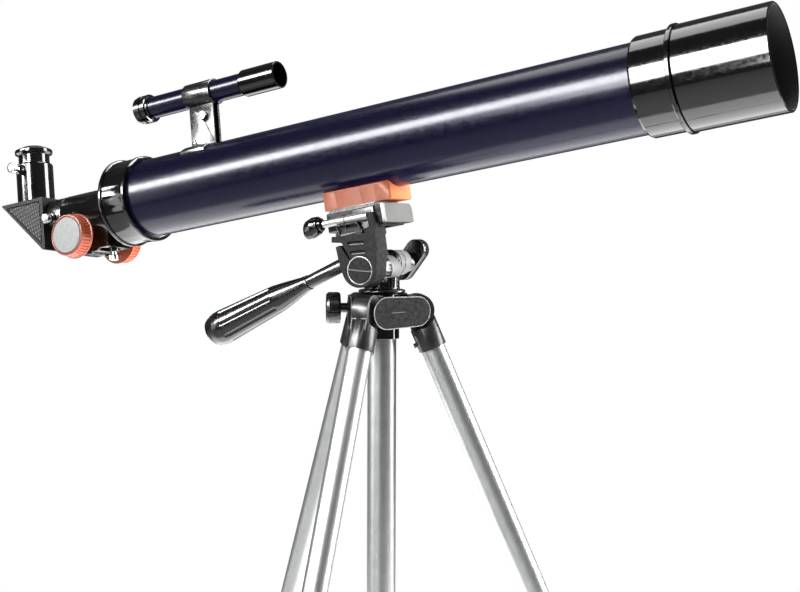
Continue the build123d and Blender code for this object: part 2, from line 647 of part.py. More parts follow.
def handle_grip():
    """Tapered grip with long rounded flutes and an end disc."""
    outline = [(30.0, 4.95), (30.0, 5.5), (35.0, 5.9), (50.0, 8.6), (60.0, 10.2), (112.0, 12.9), (117.0, 12.7),
               (121.5, 11.2), (122.6, 11.2), (124.6, 10.2), (124.6, 0), (52.5, 0), (52.5, 4.95)]
    grip = turned(*outline)
    grip += ring(117.5, 119.5, 12.2, 5.0)
    for index in range(8):
        y, z = polar(1.0, index * 45.0)
        start, end = (62.0, y * 12.3, z * 12.3), (108.0, y * 14.6, z * 14.6)
        grip -= rod(start, end, 3.0) + Pos(*start) * Sphere(3.0) + Pos(*end) * Sphere(3.0)
    droop = math.radians(HANDLE_DROOP)
    place = Plane(origin=handle_line(0), x_dir=(-math.cos(droop), 0, -math.sin(droop)), z_dir=(0, 1, 0))
    return place * Rot(90, 0, 0) * grip


def pivot_stand():
    """The tilt pivot in the stand frame: (along, up)."""
    tilt = math.radians(TILT)
    along, up = PIVOT
    return (along * math.cos(tilt) - up * math.sin(tilt), along * math.sin(tilt) + up * math.cos(tilt))


def pan_block():
    """Turning block: ribbed neck, tongue for the tilt axle, and the lock's boss."""
    x, z = pivot_stand()
    neck = Pos(0, 0, -100.3) * fluted(12.5, 0.7, 26, 8.3)
    foot = turned_up((0, -100.3), (12.7, -100.3), (12.7, -98.9), (11.0, -98.4), (0, -98.4))
    tongue = rod((x, CHEEK[1] + GAP, z), (x, 9.0, z), 10.0)
    body = neck + foot + tongue + block((-9.0, 9.0), (CHEEK[1] + GAP, 9.0), (-95.0, z))
    body += rod((0, 8.0, -82.2), (0, 27.6, -82.2), 8.9)
    body += rod((0, 9.0, -82.2), (0, 11.5, -82.2), 9.6)
    body -= rod((x, -20, z), (x, 6.5, z), 3.95 + RUNNING)
    body -= rod((0, 13.0, -82.2), (0, 40, -82.2), 3.0 + RUNNING)
    return body - rod((0, 0, -101), (0, 0, -91.0), 5.0 + RUNNING)


def tilt_lock_knob():
    """Oval wing on a screw, on the far side of the head."""
    screw = rod((0, 13.5, -82.2), (0, 34.0, -82.2), 3.0)
    hub = rod((0, 28.0, -82.2), (0, 37.0, -82.2), 7.4)
    wing = extrude(SlotOverall(34.0, 15.5), amount=8.0)
    wing -= Pos(0, 0, 7.0) * extrude(SlotOverall(29.0, 10.5), amount=2.0)
    along, up = polar(1.0, 52.0)
    place = Plane(origin=(1.0, 36.0, -80.5), x_dir=(along, 0, up), z_dir=(0, 1, 0))
    return screw + hub + place * wing


# ---- Column, crown and legs ----------------------------------------------------

def center_column():
    """Tube that lifts the head."""
    return collar(-CROWN_TOP - COLUMN_LENGTH, -CROWN_TOP + 0.2, COLUMN_RADIUS, COLUMN_RADIUS - 1.0)


def column_head():
    """Plug and flange on top of the column, with the spigot the head pans on."""
    return turned_up(
        (0, -125.0), (COLUMN_RADIUS - 1.0, -125.0), (COLUMN_RADIUS - 1.0, -103.15), (15.4, -103.15),
        (16.6, -102.6), (16.6, -101.2), (15.4, -100.6), (5.0, -100.6), (5.0, -91.5), (0, -91.5))


def leg_crown():
    """Casting with three forked arms for the legs, and the pins the legs turn on."""
    crown = collar(-CROWN_BOTTOM, -CROWN_TOP, 17.5, 5.0)
    pins = []
    for azimuth in LEG_AZIMUTHS:
        turn = Rot(0, 0, azimuth)
        arm = block((0, PIVOT_RADIUS), (-ARM_WIDTH / 2, ARM_WIDTH / 2), (-CROWN_BOTTOM, -CROWN_TOP - 0.2))
        near, far = (PIVOT_RADIUS, -ARM_WIDTH / 2, -PIVOT_DROP), (PIVOT_RADIUS, ARM_WIDTH / 2, -PIVOT_DROP)
        end = rod(near, far, ARM_RADIUS)
        crown += turn * (arm + end)
    for azimuth in LEG_AZIMUTHS:
        turn = Rot(0, 0, azimuth)
        half = TONGUE_WIDTH / 2 + GAP
        crown -= turn * block((11.6, 50.0), (-half, half), (-140.0, -100.0))
        pin = rod((PIVOT_RADIUS, -9.2, -PIVOT_DROP), (PIVOT_RADIUS, 9.2, -PIVOT_DROP), LEG_PIN_RADIUS)
        crown -= turn * pin
        pins.append(turn * pin)
    crown += collar(-135.6, -CROWN_BOTTOM, 12.3, GUIDE_RADIUS)
    knob_x, knob_y = polar(1.0, KNOB_AZIMUTH)
    boss_start, boss_end = (knob_x * 12, knob_y * 12, -113.7), (knob_x * 22, knob_y * 22, -113.7)
    crown += rod(boss_start, boss_end, 6.0)
    crown -= Pos(0, 0, -115) * Cylinder(COLUMN_RADIUS + RUNNING, 60)
    crown -= collar(-150.0, -108.0, GUIDE_RADIUS, 5.0)
    crown -= rod((0, 0, -113.7), (knob_x * 30, knob_y * 30, -113.7), 2.5 + RUNNING)
    return Compound(children=[crown] + pins)


def guide_tube():
    """Fixed tube that the column slides in and the brace hub slides on."""
    start = -107.9
    tube = collar(-GUIDE_END, start, GUIDE_RADIUS - 0.02, COLUMN_RADIUS + GAP)
    knob_x, knob_y = polar(1.0, KNOB_AZIMUTH)
    return tube - rod((0, 0, -113.7), (knob_x * 30, knob_y * 30, -113.7), 3.0)


def column_lock_knob():
    """Screw knob that clamps the column."""
    screw = Cylinder(2.5, 22.0, align=(Align.CENTER, Align.CENTER, Align.MIN))
    stem = Pos(0, 0, 13.2) * Cylinder(3.4, 8.0, align=(Align.CENTER, Align.CENTER, Align.MIN))
    head = Pos(0, 0, 20.3) * fluted(11.1, 1.2, 8, 10.0)
    head -= Pos(0, 0, 24.0) * (Cylinder(12.0, 1.0) - Cylinder(10.0, 1.0))
    knob_x, knob_y = polar(1.0, KNOB_AZIMUTH)
    tip = COLUMN_RADIUS + 0.3
    place = Plane(origin=(knob_x * tip, knob_y * tip, -113.7), z_dir=(knob_x, knob_y, 0))
    return place * (screw + stem + head)


def leg_fittings():
    """Black cap with its hinge tongue, and the clip that carries the brace pin, in the leg frame."""
    tongue = Rot(90, 0, 0) * Cylinder(ARM_RADIUS - 0.4, TONGUE_WIDTH)
    shoulder = block((-9.0, 9.0), (-TONGUE_WIDTH / 2, TONGUE_WIDTH / 2), (0, 16.0))
    upward = (Align.CENTER, Align.CENTER, Align.MIN)
    socket = Pos(0, 0, 6.0) * Cylinder(CAP_RADIUS, CAP_END - 6.0, align=upward)
    socket -= Rot(90, 0, 0) * Cylinder(ARM_RADIUS + 0.6, 60.0)
    socket -= block((-12.0, -3.9), (-12.0, 12.0), (0, 12.4))
    cap = tongue + shoulder + socket
    cap -= Rot(90, 0, 0) * Cylinder(LEG_PIN_RADIUS + RUNNING, 60.0)
    cap -= Pos(0, 0, 16.0) * Cylinder(UPPER_TUBE_RADIUS, 30.0, align=upward)
    cap += rod((-9.5, 0, 23.0), (-12.0, 0, 23.0), 1.7)
    clip = collar(BRACE_REACH - 7.0, BRACE_REACH + 7.0, UPPER_TUBE_RADIUS + 2.4, UPPER_TUBE_RADIUS + 0.02)
    clip -= block((-12.0, -9.6), (-2.0, 2.0), (BRACE_REACH - 8.0, BRACE_REACH + 8.0))
    ears = block((-BRACE_OFFSET, -9.0), (-5.0, 5.0), (BRACE_REACH - 5.0, BRACE_REACH + 5.0))
    ears += rod((-BRACE_OFFSET, -5.0, BRACE_REACH), (-BRACE_OFFSET, 5.0, BRACE_REACH), 5.0)
    ears -= block((-30.0, -9.0), (-2.0, 2.0), (BRACE_REACH - 20.0, BRACE_REACH + 20.0))
    ears -= Pos(0, 0, BRACE_REACH) * Cylinder(UPPER_TUBE_RADIUS + 0.02, 30.0)
    ears += rod((-BRACE_OFFSET, -4.5, BRACE_REACH), (-BRACE_OFFSET, 4.5, BRACE_REACH), BRACE_PIN)
    return Compound(children=[cap, clip + ears])


def upper_tube():
    """Upper leg tube."""
    return collar(16.3, UPPER_TUBE_END, UPPER_TUBE_RADIUS - 0.02, UPPER_TUBE_RADIUS - TUBE_WALL)


def leg_lock():
    """Twist collar that locks the lower section."""
    outer = turned_up(
        (LOWER_TUBE_RADIUS + GAP, 475.5), (LOWER_TUBE_RADIUS + GAP, 490.0), (9.6, 490.0),
        (10.4, 488.5), (10.8, 476.0),
        (11.2, 474.0), (11.2, 458.0), (10.2, 456.5), (UPPER_TUBE_RADIUS + RUNNING, 456.5),
        (UPPER_TUBE_RADIUS + RUNNING, 475.5))
    for index in range(16):
        x, y = polar(11.6, index * 22.5)
        outer -= rod((x, y, 459.5), (x, y, 472.5), 1.1)
    return outer


def lower_tube():
    """Lower leg tube, which slides inside the upper one."""
    return collar(LOWER_TUBE_START, LEG_LENGTH - 14.0, LOWER_TUBE_RADIUS, LOWER_TUBE_RADIUS - TUBE_WALL)


def foot(azimuth):
    """Rubber boot, cut level with the ground, in the stand frame's directions on the floor."""
    boot = turned_up(
        (0, LEG_LENGTH - 13.9), (LOWER_TUBE_RADIUS, LEG_LENGTH - 13.9),
        (LOWER_TUBE_RADIUS, LEG_LENGTH - 40.0), (8.4, LEG_LENGTH - 40.0), (8.9, LEG_LENGTH - 38.0),
        (9.2, LEG_LENGTH - 24.0), (10.6, LEG_LENGTH - 20.0),
        (11.2, LEG_LENGTH + 12.0), (0, LEG_LENGTH + 12.0))
    above_floor = Pos(0, 0, 50.0) * Box(2000, 2000, 100.0)
    return leg_plane(azimuth) * boot & above_floor


def brace_hub():
    """Sliding ring on the guide tube with three pairs of ears."""
    level = -hub_drop()
    hub = collar(level - 7.0, level + 7.0, HUB_RADIUS, GUIDE_RADIUS + RUNNING)
    for azimuth in LEG_AZIMUTHS:
        ears = block((12.0, HUB_PIVOT_RADIUS), (-4.6, 4.6), (level - 3.8, level + 3.8))
        ears += rod((HUB_PIVOT_RADIUS, -4.6, level), (HUB_PIVOT_RADIUS, 4.6, level), 3.8)
        ears -= block((13.2, 30.0), (-2.0, 2.0), (level - 6.0, level + 6.0))
        ears -= rod((HUB_PIVOT_RADIUS, -6, level), (HUB_PIVOT_RADIUS, 6, level), BRACE_PIN + RUNNING)
        hub += Rot(0, 0, azimuth) * ears
    return hub - Pos(0, 0, level) * Cylinder(GUIDE_RADIUS + RUNNING, 30.0)


def brace():
    """Flat arm from the hub out and down to a leg, slotted at its outer end."""
    length = brace_length()
    strip = block((-0.5, length + 0.6), (-1.5, 1.5), (-5.0, 5.0)) - block((-5.0, 9.0), (-2, 2), (3.4, 9.0))
    strip -= block((-5.0, 9.0), (-2, 2), (-9.0, -3.4))
    strip += rod((0, -1.5, 0), (0, 1.5, 0), 3.4)
    strip += rod((length + 0.6, -1.5, 0), (length + 0.6, 1.5, 0), 5.0)
    strip += rod((0, -4.4, 0), (0, 4.4, 0), BRACE_PIN)
    near, far = length - BRACE_SLOT, length + 0.6
    strip -= block((near, far), (-2, 2), (-BRACE_SLOT_HALF, BRACE_SLOT_HALF))
    for end in (near, far):
        strip -= rod((end, -2, 0), (end, 2, 0), BRACE_SLOT_HALF)
    strip -= block((14.0, near - 8.0), (-2, -0.9), (-3.2, 3.2))
    return Pos(HUB_PIVOT_RADIUS, 0, -hub_drop()) * Rot(0, 90 - BRACE_OPEN, 0) * strip


def tube_nodes():
    """Everything built in the tube frame."""
    return {
        "main_tube": main_tube(), "lens_cell": lens_cell(), "dew_shield": dew_shield(),
        "objective_lenses": objective_lenses(), "focuser_housing": focuser_housing(),
        "pinion_cover": pinion_cover(), "drawtube": drawtube(), "drawtube_thumbscrew": drawtube_thumbscrew(),
        "focus_shaft": focus_shaft(), "focus_knobs": Compound(children=[focus_knob(-1), focus_knob(1)]),
        "knob_caps": Compound(children=[knob_cap(-1), knob_cap(1)]), "focus_lock_screw": focus_lock_screw(),
        "diagonal_body": diagonal_body(), "diagonal_panels": Compound(children=[panel(-1, 0), panel(1, 0)]),
        "diagonal_mirror": mirror_slab(0), "eyepiece_holder": eyepiece_holder(),
        "holder_thumbscrew": holder_thumbscrew(), "eyepiece_body": eyepiece_body(),
        "eyepiece_lenses": eyepiece_lenses(), "finder_tube": finder_tube(),
        "finder_end_cells": finder_end_cells(), "finder_lenses": finder_lenses(),
        "finder_bracket": finder_bracket(), "finder_fasteners": finder_fasteners(),
    }


def head_nodes():
    """Everything built in the pitched head frame."""
    return {
        "mount_block": mount_block(), "quick_release_plate": quick_release_plate(),
        "camera_screw": camera_screw(),
        "platform": platform(), "release_lever": release_lever(), "side_tilt_knob": side_tilt_knob(),
        "tilt_bracket": tilt_bracket(), "tilt_axle": tilt_axle(),
    }


def stand_nodes():
    """Everything built in the level stand frame."""
    nodes = {
        "handle_rod": handle_rod(), "handle_grip": handle_grip(), "pan_block": pan_block(),
        "tilt_lock_knob": tilt_lock_knob(), "center_column": center_column(), "column_head": column_head(),
        "leg_crown": leg_crown(), "guide_tube": guide_tube(), "column_lock_knob": column_lock_knob(),
        "brace_hub": brace_hub(),
    }
    for number, azimuth in enumerate(LEG_AZIMUTHS, start=1):
        nodes[f"brace_{number}"] = Rot(0, 0, azimuth) * brace()
    return nodes


def leg_nodes(number, azimuth):
    """One leg's pieces, already standing on the floor."""
    place = leg_plane(azimuth)
    return {
        f"leg_{number}_fittings": place * leg_fittings(), f"leg_{number}_upper_tube": place * upper_tube(),
        f"leg_{number}_lock": place * leg_lock(), f"leg_{number}_lower_tube": place * lower_tube(),
        f"leg_{number}_foot": foot(azimuth),
    }


def assembled():
    """All the nodes in one frame, with the floor at z = 0 under the column's axis."""
    nodes = {name: TUBE * shape for name, shape in tube_nodes().items()}
    nodes.update({name: HEAD * shape for name, shape in head_nodes().items()})
    nodes.update({name: STAND * shape for name, shape in stand_nodes().items()})
    for number, azimuth in enumerate(LEG_AZIMUTHS, start=1):
        nodes.update(leg_nodes(number, azimuth))
    return nodes


def origin_shift(nodes):
    """The move that puts the origin under the middle of the whole object's box."""
    low, high = [], []
    for shape in nodes.values():
        box = shape.bounding_box()
        low.append(box.min)
        high.append(box.max)
    centre_x = (min(point.X for point in low) + max(point.X for point in high)) / 2
    centre_y = (min(point.Y for point in low) + max(point.Y for point in high)) / 2
    return Pos(-round(centre_x, 2), -round(centre_y, 2), 0)


def main():
    os.makedirs("parts", exist_ok=True)
    nodes = assembled()
    shift = origin_shift(nodes)
    for name, shape in nodes.items():
        export_step(shift * shape, f"parts/{name}.step")


if __name__ == "__main__":
    main()
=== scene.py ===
import bpy
import bmesh
import json
import math
from mathutils import Matrix, Vector


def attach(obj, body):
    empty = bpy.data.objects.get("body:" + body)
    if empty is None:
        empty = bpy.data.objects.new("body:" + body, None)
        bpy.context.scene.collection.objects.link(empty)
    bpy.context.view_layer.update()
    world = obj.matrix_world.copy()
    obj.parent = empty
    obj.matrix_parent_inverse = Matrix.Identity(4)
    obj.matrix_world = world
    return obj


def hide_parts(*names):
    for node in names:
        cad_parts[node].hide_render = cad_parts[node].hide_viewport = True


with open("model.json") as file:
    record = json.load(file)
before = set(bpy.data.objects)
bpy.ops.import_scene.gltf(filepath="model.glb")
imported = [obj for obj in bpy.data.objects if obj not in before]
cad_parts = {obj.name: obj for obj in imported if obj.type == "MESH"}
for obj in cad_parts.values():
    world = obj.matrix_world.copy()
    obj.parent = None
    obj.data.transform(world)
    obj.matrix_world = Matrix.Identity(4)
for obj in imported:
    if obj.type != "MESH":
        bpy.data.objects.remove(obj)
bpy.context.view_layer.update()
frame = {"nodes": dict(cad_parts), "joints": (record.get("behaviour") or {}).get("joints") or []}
nodes = frame["nodes"]
joints = {joint["name"]: joint for joint in frame["joints"]}
scene = bpy.context.scene

MM = 0.001
UP = Vector((0, 0, 1))
FAR_WAY = Vector((0, 1, 0))      # across the telescope
NEAR_WAY = Vector((0, -1, 0))    # towards the camera's side


# ---- Frames -----------------------------------------------------------------
# Lengths inside a local frame are in millimetres until they reach a mesh.

def joint_point(name):
    return Vector(joints[name]["pos_m"])


def joint_axis(name):
    return Vector(joints[name]["axis"]).normalized()


def placed(origin, x, y, z):
    """A matrix from a local frame's origin and its three directions."""
    turn = Matrix((x, y, z)).transposed().to_4x4()
    return Matrix.Translation(origin) @ turn


def frame_along(origin, z, x_hint):
    """A frame whose Z runs along z and whose X is as near x_hint as it can be."""
    z = Vector(z).normalized()
    y = z.cross(Vector(x_hint)).normalized()
    return placed(origin, y.cross(z), y, z)


PIVOT_DROP = 86.34 * MM      # the tilt axle is this far below the telescope's axis, over the column
tilt_point = joint_point("tilt")
pan_point = joint_point("pan")
stand_origin = Vector((pan_point.x, pan_point.y, tilt_point.z + PIVOT_DROP))
front = joint_axis("side_tilt")
head_up = front.cross(FAR_WAY)
tube_up = joint_axis("eyepiece_out")

# All three frames start on the telescope's axis over the column.
STAND = Matrix.Translation(stand_origin)                  # upright
HEAD = placed(stand_origin, front, FAR_WAY, head_up)      # X to the front, Y across, Z up from the head
SIDE = placed(stand_origin, front, head_up, NEAR_WAY)     # X to the front, Y up, Z out to the near side


def head_frame(x, y, z, toward):
    """A frame at a point of the HEAD frame, with its Z along a direction of the HEAD frame."""
    turn = HEAD.to_3x3()
    return frame_along(HEAD @ (Vector((x, y, z)) * MM), turn @ Vector(toward), turn @ UP)


def side_frame(x, y, out=0.0):
    """The SIDE frame moved to one of its own points."""
    return placed(SIDE @ (Vector((x, y, out)) * MM), front, head_up, NEAR_WAY)


def below_tube(drop, forward=0.0):
    """The point that is this far below the telescope's axis over the column."""
    return stand_origin + Vector((forward * MM, 0, -drop * MM))


def foot_frame(node, joint):
    """A frame on a joint's axis that starts at the node's low end."""
    axis = joint_axis(joint)
    point = joint_point(joint)
    low = min((corner.co - point).dot(axis) for corner in nodes[node].data.vertices)
    upright = abs(axis.z) >= 0.7
    return frame_along(point + axis * low, axis, (1, 0, 0) if upright else UP)


# ---- Materials ----------------------------------------------------------------

CLOUD_DETAIL = 4.0
GLOSS_DETAIL = 5.0
GLOSS_FINER = 9              # the gloss varies over patches this many times smaller than the colour's
LEAST_ROUGH = 0.03


class Nodes:
    """A short way to build a material's node tree."""

    def __init__(self, name):
        self.material = bpy.data.materials.new(name)
        self.material.use_nodes = True
        self.tree = self.material.node_tree
        self.shader = self.tree.nodes["Principled BSDF"]
        self.place = self.add("ShaderNodeTexCoord").outputs["Object"]
        self.normal = None

    def add(self, kind, **values):
        node = self.tree.nodes.new(kind)
        for key, value in values.items():
            setattr(node, key, value)
        return node

    def link(self, source, target):
        self.tree.links.new(source, target)

    def feed(self, name, source):
        self.link(source, self.shader.inputs[name])

    def set(self, **values):
        for key, value in values.items():
            self.shader.inputs[key.replace("_", " ")].default_value = value

    def noise(self, scale, detail=2.0):
        texture = self.add("ShaderNodeTexNoise")
        texture.inputs["Scale"].default_value = scale
        texture.inputs["Detail"].default_value = detail
        self.link(self.place, texture.inputs["Vector"])
        return texture.outputs["Fac"]

    def stripes(self, place, direction, scale):
        wave = self.add("ShaderNodeTexWave", wave_type="BANDS", wave_profile="SIN")
        wave.bands_direction = direction
        wave.inputs["Scale"].default_value = scale
        wave.inputs["Distortion"].default_value = 0.3
        self.link(place, wave.inputs["Vector"])
        return wave.outputs["Fac"]

    def bumps(self, height, distance):
        bump = self.add("ShaderNodeBump")
        bump.inputs["Strength"].default_value = 1.0
        bump.inputs["Distance"].default_value = distance
        self.link(height, bump.inputs["Height"])
        if self.normal is not None:
            self.link(self.normal, bump.inputs["Normal"])
        self.normal = bump.outputs["Normal"]
        self.feed("Normal", self.normal)

    def span(self, source, low, high, start=0.3, end=0.7):
        """A value that runs from low to high as the source runs from start to end."""
        node = self.add("ShaderNodeMapRange")
        node.inputs["From Min"].default_value = start
        node.inputs["From Max"].default_value = end
        node.inputs["To Min"].default_value = low
        node.inputs["To Max"].default_value = high
        self.link(source, node.inputs["Value"])
        return node.outputs["Result"]

    def blend_colours(self, factor, first, second):
        mix = self.add("ShaderNodeMix", data_type="RGBA")
        self.link(factor, mix.inputs["Factor"])
        mix.inputs["A"].default_value = (*first, 1.0)
        mix.inputs["B"].default_value = (*second, 1.0)
        return mix.outputs["Result"]


def shade(colour, factor):
    return tuple(min(1.0, part * factor) for part in colour)


def surface(name, colour, rough, metal=0.0, shine=0.5, mottle=0.15, mottle_scale=45.0,
            rough_spread=0.06, grain=None, wave=None):
    """A moulded, painted or metal surface: mottled colour, uneven gloss, and up to two sizes of bump.
    grain and wave are (scale, height in millimetres)."""
    tree = Nodes(name)
    cloud = tree.span(tree.noise(mottle_scale, CLOUD_DETAIL), 0.0, 1.0)
    tree.feed("Base Color", tree.blend_colours(cloud, shade(colour, 1 - mottle), shade(colour, 1 + mottle)))
    fine = tree.noise(mottle_scale * GLOSS_FINER, GLOSS_DETAIL)
    tree.feed("Roughness", tree.span(fine, max(LEAST_ROUGH, rough - rough_spread), rough + rough_spread))
    tree.set(Metallic=metal, Specular_IOR_Level=shine)
    for bump in (wave, grain):
        if bump:
            scale, height = bump
            tree.bumps(tree.noise(scale), height * MM)
    return tree.material


LENS_TINT = (0.86, 0.93, 0.98)
LENS_ROUGH = 0.01
COATING_TINT = (0.55, 0.75, 1.0, 1.0)


def coated_glass():
    """Clear glass with a bluish coating and a faint smear."""
    tree = Nodes("lens_glass")
    smear = tree.noise(120.0, 3.0)
    tree.feed("Base Color", tree.blend_colours(tree.span(smear, 0.0, 1.0), LENS_TINT, shade(LENS_TINT, 0.93)))
    tree.feed("Roughness", tree.span(smear, LENS_ROUGH, LENS_ROUGH + 0.03))
    tree.set(Transmission_Weight=1.0, IOR=1.52, Coat_Weight=0.5, Coat_Tint=COATING_TINT)
    return tree.material


HATCH_TURN = -13             # the slant of the rows, in degrees
HATCH_ROWS = 125.0
HATCH_DASHES = 95.0
HATCH_HEIGHT = 0.02
HATCH_DARK = (0.004, 0.004, 0.004)
HATCH_PALE = (0.15, 0.155, 0.15)


def hatched_plastic():
    """Dark plastic with fine pale dashes moulded in slanting rows."""
    tree = Nodes("hatched_plastic")
    mapping = tree.add("ShaderNodeMapping")
    mapping.inputs["Rotation"].default_value = (0, 0, math.radians(HATCH_TURN))
    tree.link(tree.place, mapping.inputs["Vector"])
    both = tree.add("ShaderNodeMath", operation="MULTIPLY")
    tree.link(tree.stripes(mapping.outputs["Vector"], "Y", HATCH_DASHES), both.inputs[0])
    tree.link(tree.stripes(mapping.outputs["Vector"], "X", HATCH_ROWS), both.inputs[1])
    factor = tree.span(both.outputs["Value"], 0.0, 1.0, 0.2, 0.6)
    tree.feed("Base Color", tree.blend_colours(factor, HATCH_DARK, HATCH_PALE))
    tree.feed("Roughness", tree.span(tree.noise(400.0, 3.0), 0.38, 0.5))
    tree.bumps(both.outputs["Value"], HATCH_HEIGHT * MM)
    tree.set(Specular_IOR_Level=0.12)
    return tree.material


NAVY = (0.0048, 0.0044, 0.036)
BLACK = (0.0055, 0.0056, 0.0055)
GREY_BLACK = (0.020, 0.021, 0.020)
CAP_BLACK = (0.020, 0.020, 0.021)
ORANGE = (0.84, 0.205, 0.075)
DEEP_ORANGE = (0.60, 0.120, 0.048)

navy_paint = surface("navy_paint", NAVY, 0.22, shine=0.2, mottle=0.1, rough_spread=0.05,
                     grain=(900.0, 0.010), wave=(30.0, 0.015))
gloss_black = surface("gloss_black", BLACK, 0.11, rough_spread=0.04, grain=(1500.0, 0.002),
                      wave=(45.0, 0.025))
cap_black = surface("cap_black", CAP_BLACK, 0.34, shine=0.35, mottle=0.3, mottle_scale=200.0,
                    grain=(1400.0, 0.03))
body_black = surface("body_black", shade(BLACK, 1.2), 0.5, shine=0.12, mottle=0.4, mottle_scale=300.0,
                     grain=(1300.0, 0.03))
satin_black = surface("satin_black", shade(BLACK, 1.6), 0.24, grain=(1300.0, 0.006), wave=(60.0, 0.02))
textured_black = surface("textured_black", GREY_BLACK, 0.6, shine=0.07, mottle=0.6, mottle_scale=420.0,
                         grain=(1300.0, 0.09))
grey_plastic = surface("grey_plastic", (0.30, 0.31, 0.30), 0.42, mottle=0.12, grain=(1300.0, 0.02))
orange_plastic = surface("orange_plastic", ORANGE, 0.5, shine=0.2, mottle=0.12, mottle_scale=90.0,
                         grain=(900.0, 0.02))
knob_orange = surface("knob_orange", DEEP_ORANGE, 0.36, shine=0.35, grain=(1100.0, 0.015))
silver_disc = surface("silver_disc", (0.62, 0.65, 0.64), 0.6, shine=0.3, mottle=0.12, mottle_scale=500.0,
                      grain=(1500.0, 0.03))
chrome = surface("chrome", (0.42, 0.42, 0.43), 0.24, metal=1.0, mottle=0.05, grain=(1800.0, 0.003))
anodised = surface("anodised", (0.37, 0.38, 0.375), 0.35, metal=0.95, mottle=0.06, mottle_scale=120.0,
                   grain=(900.0, 0.012))
steel = surface("steel", (0.045, 0.046, 0.046), 0.22, metal=0.3, mottle=0.1, grain=(1200.0, 0.004))
grip_black = surface("grip_black", shade(BLACK, 1.3), 0.20, grain=(1100.0, 0.006), wave=(60.0, 0.02))
rubber = surface("foot_rubber", (0.018, 0.018, 0.018), 0.68, mottle=0.3, grain=(1400.0, 0.04))
bracket_black = surface("bracket_black", shade(BLACK, 1.5), 0.25, grain=(1300.0, 0.006), wave=(90.0, 0.05))
# Pale grey that paints highlights: the lit lower lip in each bracket slot, the light line in the axle cap's
# slot and the light outline round each crown side.
edge_highlight_grey = surface("edge_highlight_grey", (0.34, 0.35, 0.34), 0.38, grain=(1300.0, 0.01))
# Dark grey. On the bracket's ramp it is painted light, the light that falls on the window's sloping floor.
ramp_grey = surface("ramp_grey", (0.10, 0.10, 0.098), 0.40, grain=(1300.0, 0.02))
lever_grey = surface("lever_grey", (0.075, 0.075, 0.072), 0.5, mottle=0.10, grain=(1300.0, 0.02))
barrel_grey = surface("barrel_grey", (0.20, 0.203, 0.2), 0.35, mottle=0.12, grain=(1100.0, 0.015))
# Pale satin that paints highlights: the glossy band along the hinge barrels, the ring round the axle cap and
# the release lever's two near edges.
highlight_satin = surface("highlight_satin", (0.42, 0.43, 0.42), 0.34, metal=0.5, mottle=0.08, grain=(1200.0, 0.01))
shield_inside = surface("shield_inside", (0.016, 0.016, 0.016), 0.62, mottle=0.2, grain=(1300.0, 0.03))
hatched = hatched_plastic()
lens_glass = coated_glass()
mirror_glass = surface("mirror_glass", (0.85, 0.86, 0.88), 0.04, metal=1.0, mottle=0.02, rough_spread=0.01)


# ---- CAD nodes -------------------------------------------------------------------

WELD_WITHIN = 0.002
FLAT_WITHIN = math.radians(0.5)
BEVEL_FROM = math.radians(35)
NODE_SHARP_FROM = math.radians(30)


def add_bevel(piece, width, segments):
    bevel = piece.modifiers.new("bevel", "BEVEL")
    bevel.width = width * MM
    bevel.segments = segments
    bevel.limit_method = "ANGLE"
    bevel.angle_limit = BEVEL_FROM
    bevel.harden_normals = True


def soften(piece, width):
    """Rounds a CAD node's hard edges in view, without touching its own mesh."""
    weld = piece.modifiers.new("weld", "WELD")
    weld.merge_threshold = WELD_WITHIN * MM
    flat = piece.modifiers.new("flat", "DECIMATE")
    flat.decimate_type = "DISSOLVE"
    flat.angle_limit = FLAT_WITHIN
    add_bevel(piece, width, 2)


def finish_node(node, material, width):
    piece = nodes[node]
    piece.data.materials.clear()
    piece.data.materials.append(material)
    piece.data.shade_smooth()
    piece.data.set_sharp_from_angle(angle=NODE_SHARP_FROM)
    if width:
        soften(piece, width)


# Each node's material, and the width of its softened edges
NODE_LOOKS = {
    "main_tube": (navy_paint, 0), "finder_tube": (navy_paint, 0), "lens_cell": (gloss_black, 0),
    "dew_shield": (gloss_black, 0), "focuser_housing": (gloss_black, 0.4),
    "pinion_cover": (satin_black, 0.2), "drawtube": (satin_black, 0.1), "eyepiece_holder": (gloss_black, 0),
    "diagonal_body": (body_black, 0), "diagonal_panels": (body_black, 0),
    "diagonal_mirror": (mirror_glass, 0), "eyepiece_body": (gloss_black, 0),
    "eyepiece_lenses": (lens_glass, 0), "objective_lenses": (lens_glass, 0),
    "finder_lenses": (lens_glass, 0), "finder_end_cells": (gloss_black, 0),
    "finder_bracket": (bracket_black, 0.2), "finder_fasteners": (chrome, 0.1), "focus_shaft": (chrome, 0),
    "focus_knobs": (knob_orange, 0.15), "knob_caps": (silver_disc, 0), "focus_lock_screw": (chrome, 0.1),
    "drawtube_thumbscrew": (chrome, 0.1), "holder_thumbscrew": (chrome, 0.1),
    "mount_block": (orange_plastic, 0.35), "quick_release_plate": (grey_plastic, 0.2),
    "camera_screw": (chrome, 0.1), "platform": (satin_black, 0.4), "release_lever": (satin_black, 0.5),
    "side_tilt_knob": (satin_black, 0.5), "tilt_bracket": (textured_black, 0.5),
    "tilt_axle": (textured_black, 0.3), "handle_rod": (steel, 0.2), "handle_grip": (grip_black, 0.4),
    "pan_block": (satin_black, 0.3), "tilt_lock_knob": (satin_black, 0.5),
    "column_lock_knob": (satin_black, 0.4), "center_column": (anodised, 0),
    "column_head": (satin_black, 0.2), "leg_crown": (gloss_black, 0.5), "guide_tube": (anodised, 0),
    "brace_hub": (satin_black, 0.3),
}
